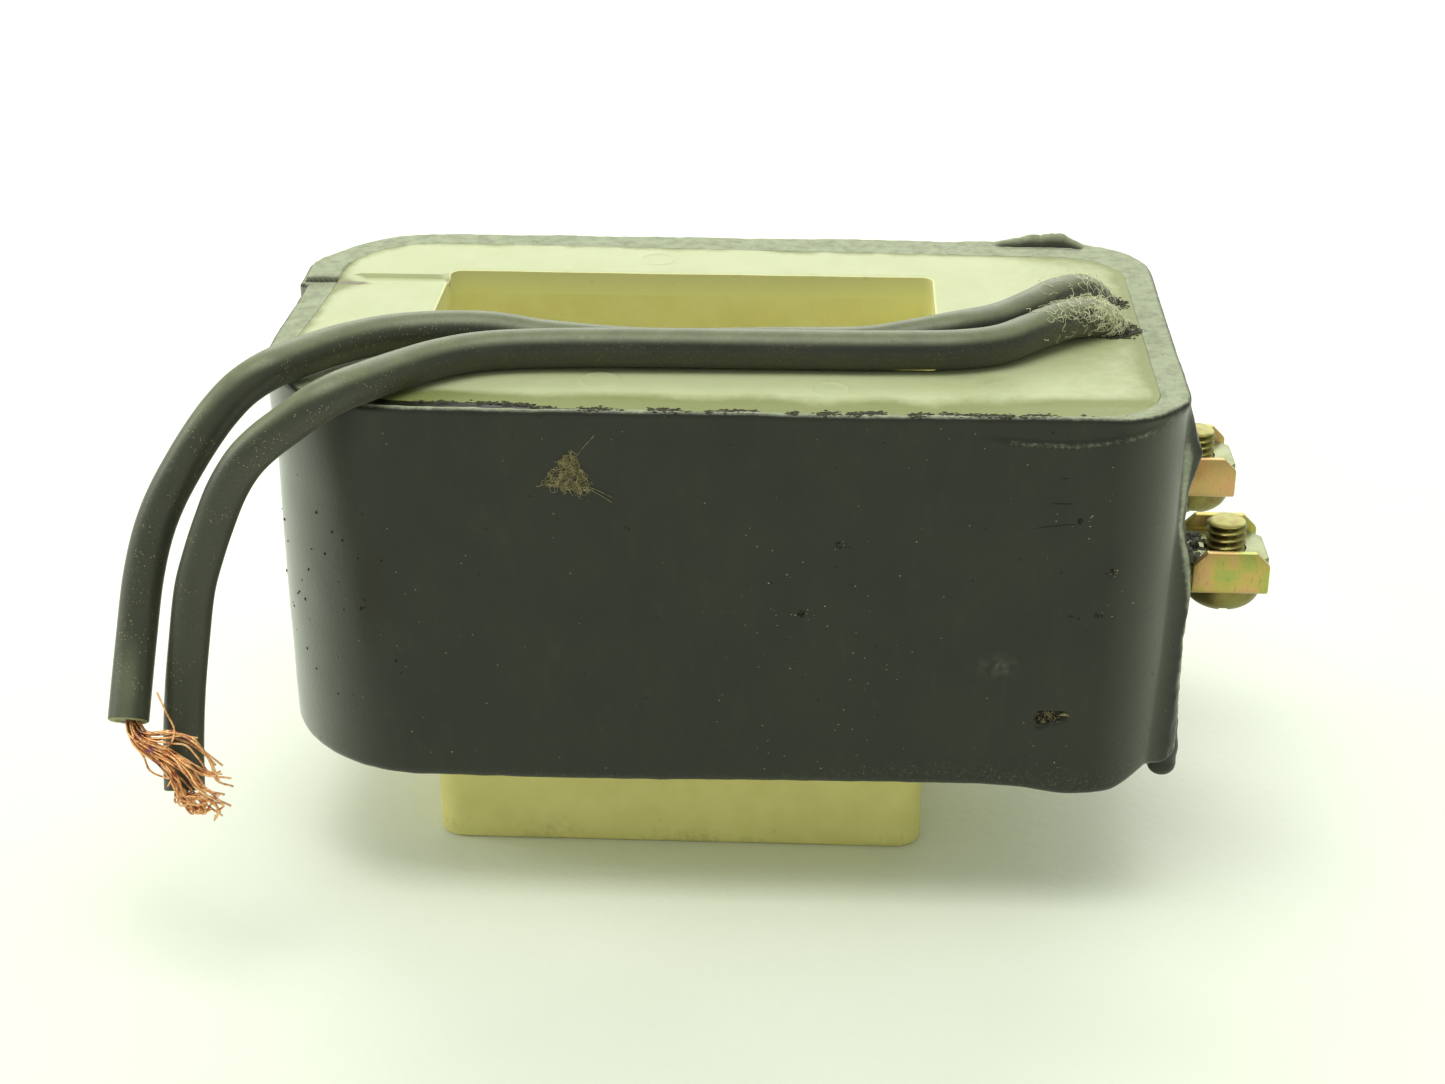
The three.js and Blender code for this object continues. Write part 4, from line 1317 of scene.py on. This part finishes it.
def tab(side, y):
    low, high = node_box(f"{side}_terminal_tab")
    half = (high[1] - low[1]) / 2
    cut = 1.3
    outline = [
        (low[0], y - half), (high[0] - cut, y - half), (high[0], y - half + cut), (high[0], y + half - cut),
        (high[0] - cut, y + half), (low[0], y + half),
    ]
    work = bmesh.new()
    prism(work, [(a, b, low[2]) for a, b in outline], (0, 0, high[2] - low[2]))
    bmesh.ops.recalc_face_normals(work, faces=work.faces)
    piece = from_bmesh(f"{side}_terminal_strap", work, "tin", "coil", [f"{side}_terminal_tab"],
                       bevel=0.2, segments=3)
    drill(piece, y, TAB_HOLE, low[2] - 1, high[2] + 1)


def terminals():
    for side, y in (("front", -TERMINAL_Y), ("rear", TERMINAL_Y)):
        tab(side, y)
        saddle(side, y)
        clamp_screw(side, y)


# ---- loose stuff: crumbs, lint and fibres ----

def lumps(name, places, sizes, look, seed, detail=1, squash=(1, 1, 1), rough=0.5):
    """Small irregular lumps, one at each place, joined in one mesh."""
    draw = random.Random(seed)
    all_points, all_faces = [], []
    for place, size in zip(places, sizes):
        work = bmesh.new()
        bmesh.ops.create_icosphere(work, subdivisions=detail, radius=1)
        shift = Vector((draw.uniform(0, 50), draw.uniform(0, 50), draw.uniform(0, 50)))
        start = len(all_points)
        for vertex in work.verts:
            push = 1 + rough * noise.noise(vertex.co * 1.3 + shift)
            all_points.append(np.array(vertex.co) * push * size * np.array(squash) + np.array(place))
        all_faces += [tuple(start + v.index for v in face.verts) for face in work.faces]
        work.free()
    mesh_piece(name, np.array(all_points), all_faces, look)


def rim_crumbs():
    """Dark crumbs and shreds of compound along the front edge of the flange, in clusters."""
    draw = random.Random(3)
    places, sizes = [], []
    edge = seat_loop[:SIDE_STATIONS["front"]]
    for _ in range(5200):
        x, y = edge[draw.randrange(len(edge))]
        dense = noise.noise(Vector((x / 3.2, 3.1, 0))) + 0.5 * noise.noise(Vector((x / 0.9, 7.7, 0)))
        if draw.random() > 0.22 + 0.9 * dense:
            continue
        places.append((x + draw.gauss(0, 0.1), y + draw.gauss(0.05, 0.22), TOP + draw.uniform(-0.03, 0.05)))
        sizes.append(draw.uniform(0.035, 0.12))
    lumps("rim_crumbs", places, sizes, "crumbs", 4, squash=(2.3, 0.8, 0.6))


def curl(draw, start, direction, length, kink, steps=7):
    """A short random fibre."""
    line = [np.array(start, float)]
    heading = np.array(direction, float)
    for _ in range(steps):
        heading = heading + np.array([draw.gauss(0, kink) for _ in range(3)])
        heading /= np.linalg.norm(heading)
        line.append(line[-1] + heading * length / steps)
    return np.array(line)


def exit_lint():
    """The wad of lint caught round the leads where they leave the flange."""
    draw = random.Random(11)
    lines = []
    for side, amount in (("front", 950), ("rear", 240)):
        route = catmull_rom(LEAD_ROUTES[f"{side}_lead"][1:8], 12)
        for _ in range(amount):
            k = min(int(abs(draw.gauss(0.08, 0.22)) * len(route)), len(route) - 2)
            first, second = basis(route[k + 1] - route[k])
            turn = draw.uniform(0, 2 * math.pi)
            out = math.cos(turn) * first + math.sin(turn) * second
            if out[2] < -0.3:
                out[2] = -out[2]
            start = route[k] + out * (LEAD_DIAMETER / 2 - 0.02)
            along = (route[k + 1] - route[k]) / np.linalg.norm(route[k + 1] - route[k])
            heading = np.cross(out, along) * draw.gauss(0, 1) + along * draw.gauss(0, 1)
            line = curl(draw, start, heading, draw.uniform(0.8, 4.2), 0.6, 12)
            # The fibres cling to the lead and don't pass below the flange.
            near = route[np.argmin(((line[:, None] - route) ** 2).sum(2), axis=1)]
            away = line - near
            reach = np.linalg.norm(away, axis=1)
            loose = draw.uniform(0.02, 0.6) * np.linspace(0.3, 1, len(line))
            hold = np.clip(reach, LEAD_DIAMETER / 2, LEAD_DIAMETER / 2 + loose)
            line = near + away * (hold / reach)[:, None]
            line[:, 2] = np.maximum(line[:, 2], TOP + 0.05)
            if start[2] > TOP + 0.5:
                lines.append(line)
    curve_piece("exit_lint", lines, 0.05, "lint", resolution=0)


def exit_dirt():
    """Packed dirt round the holes, mostly on their right."""
    draw = random.Random(12)
    places, sizes = [], []
    for _ in range(560):
        side = draw.choice(("front", "rear"))
        x, y, _ = LEAD_ROUTES[f"{side}_lead"][2]
        turn = draw.gauss(-0.2, 1.3)
        reach = 2.1 + abs(draw.gauss(0, 0.45))
        places.append((x + 0.3 + reach * math.cos(turn), y + reach * math.sin(turn),
                       TOP + draw.uniform(-0.03, 0.06)))
        sizes.append(draw.uniform(0.04, 0.19))
    lumps("exit_dirt", places, sizes, "crumbs", 13, squash=(1.3, 1, 0.5), rough=0.9)


def face_fibres():
    """A triangular patch of tan fibres stuck to the front face, with a few long loose ones."""
    draw = random.Random(21)
    top, left, right = np.array((-13.8, 51.7)), np.array((-16.7, 48.1)), np.array((-12.0, 47.5))
    lines = []
    for _ in range(330):
        a, b = sorted((draw.random(), draw.random()))
        x, z = top * a + left * (b - a) + right * (1 - b)
        heading = (draw.gauss(0, 1), 0, draw.gauss(0, 1))
        line = curl(draw, (x, FRONT - 0.1, z), heading, draw.uniform(0.4, 1.3), 0.7, 7)
        line[:, 1] = FRONT - 0.05 - 0.3 * np.abs(wobble(line, 0.8, 41))
        lines.append(line)
    for _ in range(45):
        share = draw.random()
        x, z = left * (1 - share) + right * share
        heading = (draw.gauss(1, 0.8), 0, draw.gauss(-0.4, 0.6))
        line = curl(draw, (x, FRONT - 0.3, z), heading, draw.uniform(0.7, 1.8), 0.5, 8)
        line[:, 1] = FRONT - 0.3 - 0.15 * np.abs(wobble(line, 0.8, 42))
        lines.append(line)
    threads = (((-12.2, 47.8), (-9.9, 46.7)), ((-12.2, 47.6), (-9.8, 46.1)), ((-13.2, 51.1), (-11.5, 53.2)))
    for (x0, z0), (x1, z1) in threads:
        bend = ((x0 + x1) / 2, FRONT - 0.2, (z0 + z1) / 2 + 0.1)
        lines.append(catmull_rom([(x0, FRONT - 0.15, z0), bend, (x1, FRONT - 0.12, z1)], 6))
    curve_piece("face_fibres", lines, 0.035, "tan_fibre", resolution=0)


def gouge_fibres():
    """Frayed filler in the left half of the gouge."""
    draw = random.Random(22)
    lines = []
    for _ in range(60):
        x = GOUGE[0] + draw.uniform(-1.9, 0.4)
        start = (x, FRONT + draw.uniform(0.05, 0.5), GOUGE[1] + 0.14 * (x - GOUGE[0]) + draw.gauss(0.15, 0.5))
        heading = (draw.gauss(0.5, 1), -0.2, draw.gauss(0, 0.6))
        lines.append(curl(draw, start, heading, draw.uniform(0.3, 1.0), 0.6, 6))
    for _ in range(12):
        start = (GOUGE[0] + draw.uniform(0.2, 1.2), FRONT + 0.15, GOUGE[1] + draw.uniform(0, 0.35))
        lines.append(curl(draw, start, (1, 0, 0.15), draw.uniform(0.5, 1.1), 0.15, 5))
    for line in lines:
        line[:, 1] = np.clip(line[:, 1], FRONT + 0.03, FRONT + 0.9)
    curve_piece("gouge_fibres", lines, 0.04, "tan_fibre", resolution=0)


def face_specks():
    """Specks on the case: black lumps as painted shade in the pits, tan grit scattered thinly over the front.
    """
    draw = random.Random(23)
    pits = ((35.4, 34.7), (38.0, 34.9), (39.1, 39.6), (35.3, 45.2), (12.6, 42), (-8.4, 43.4), (8.8, 34.3))
    places, sizes = [], []
    for x, z in pits:
        for _ in range(7):
            places.append((x + draw.gauss(0, 0.3), FRONT + 0.02, z + draw.gauss(0, 0.16)))
            sizes.append(draw.uniform(0.08, 0.2))
    # Small pits down the rounded front left corner, painted as black lumps of shade.
    for _ in range(34):
        z = draw.gauss(34, 6)
        station = len(case_loop) - 1 - int(draw.uniform(2, 50))
        flat = case_loop[station] + case_out[station] * wall_offset(z)[station]
        places.append((*flat, z))
        sizes.append(draw.uniform(0.07, 0.2))
    lumps("face_pits", places, sizes, "pit", 24, squash=(0.9, 0.7, 1.1))
    places, sizes = [(32.6, FRONT + 0.03, 40.6 + 0.2 * k) for k in range(-3, 4)], [0.07] * 7
    for x, z in pits:
        for _ in range(6):
            places.append((x + draw.gauss(0.2, 0.7), FRONT + 0.03, z + draw.gauss(0, 0.3)))
            sizes.append(draw.uniform(0.03, 0.08))
    for _ in range(260):
        places.append((draw.uniform(-32, 42), FRONT + 0.03, draw.uniform(15.5, 51)))
        sizes.append(draw.uniform(0.025, 0.08))
    lumps("face_grit", places, sizes, "grit", 25, squash=(1.4, 0.5, 0.8))


def face_scratches():
    """Three thin dark scratches in the upper right of the front face."""
    ends = (((30.9, 44.2), (35.3, 44.8)), ((32.5, 46.9), (34.9, 46.9)), ((33.4, 49.6), (34.3, 49.5)))
    lines = []
    for (x0, z0), (x1, z1) in ends:
        share = np.linspace(0, 1, 14)
        line = np.column_stack((x0 + (x1 - x0) * share, np.full(14, FRONT), z0 + (z1 - z0) * share))
        line[:, 2] += 0.06 * wobble(line, 0.7, 43)
        line[:, 1] -= wall_waves(line)
        lines.append(line)
    radii = [np.sin(np.linspace(0.1, math.pi - 0.1, 14)) for _ in lines]
    curve_piece("face_scratches", lines, 0.11, "pit", resolution=1, radii=radii)


def drip():
    """The rounded foot of the flash, hanging a little below the case."""
    line, radii = [], []
    foot, length, radius = 13.95, 8.8, 1.6
    for share in np.linspace(0, 1, 40) ** 1.5:
        z = foot + length * share
        below = min(1, (z - foot) / radius)
        above = min(1, (foot + length - z) / (2.2 * radius))
        swell = 1 - 0.14 * share + 0.05 * math.sin(1.9 * z)
        line.append((46.25 - 0.1 * share, FLASH_Y - 0.9 + 0.1 * math.sin(1.3 * z), z))
        radii.append(max(0.02, swell * math.sqrt(below * (2 - below)) * math.sqrt(above * (2 - above))))
    curve_piece("flash_drip", [line], 2 * radius, "rubber", resolution=10, radii=[radii])


def potting_lumps():
    """Compound that crept along the straps where they leave the case, up to the screws."""
    draw = random.Random(32)
    places, sizes = [], []
    for y in (-TERMINAL_Y, TERMINAL_Y):
        for _ in range(170):
            reach = min(abs(draw.gauss(0, 1.7)), 3.4)
            place_y = y + draw.uniform(-3.9, 3.3)
            places.append((RIGHT + reach, place_y, TAB_TOP + 0.25 - 0.18 * reach + draw.gauss(0, 0.18)))
            sizes.append(draw.uniform(0.25, 0.6))
    lumps("potting_lumps", places, sizes, "potting", 33, detail=2, rough=0.9)


# ---- what stays of the CAD ----

KEPT_LOOKS = {
    "winding_tube": "tube",
    "primary_winding": "enamel",
    "secondary_winding": "enamel",
    "interwinding_insulation": "paper",
    "outer_winding_wrap": "paper",
    "rear_splice_ferrule": "tin",
    "front_splice_ferrule": "tin",
    "front_primary_end_wire": "copper",
    "rear_primary_end_wire": "copper",
    "front_secondary_end_wire": "copper",
    "rear_secondary_end_wire": "copper",
}


def dress_kept_nodes():
    for node, look in KEPT_LOOKS.items():
        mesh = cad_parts[node].data
        mesh.materials.clear()
        mesh.materials.append(LOOKS[look])


def add_floor():
    size, steps = 2.4, 24
    ticks = np.linspace(-size / 2, size / 2, steps + 1)
    points = [(x, y, 0) for y in ticks for x in ticks]
    across = steps + 1
    faces = [(r * across + c, r * across + c + 1, (r + 1) * across + c + 1, (r + 1) * across + c)
             for r in range(steps) for c in range(steps)]
    mesh = bpy.data.meshes.new("floor")
    mesh.from_pydata(points, [], faces)
    mesh.materials.append(LOOKS["floor"])
    floor = bpy.data.objects.new("floor", mesh)
    bpy.context.scene.collection.objects.link(floor)


add_camera()
add_studio()
add_floor()
leads()
case_shell()
top_flange_plate()
bottom_flange_plate()
core_sleeve()
terminals()
rim_crumbs()
exit_dirt()
exit_lint()
face_fibres()
gouge_fibres()
face_specks()
face_scratches()
drip()
potting_lumps()
dress_kept_nodes()
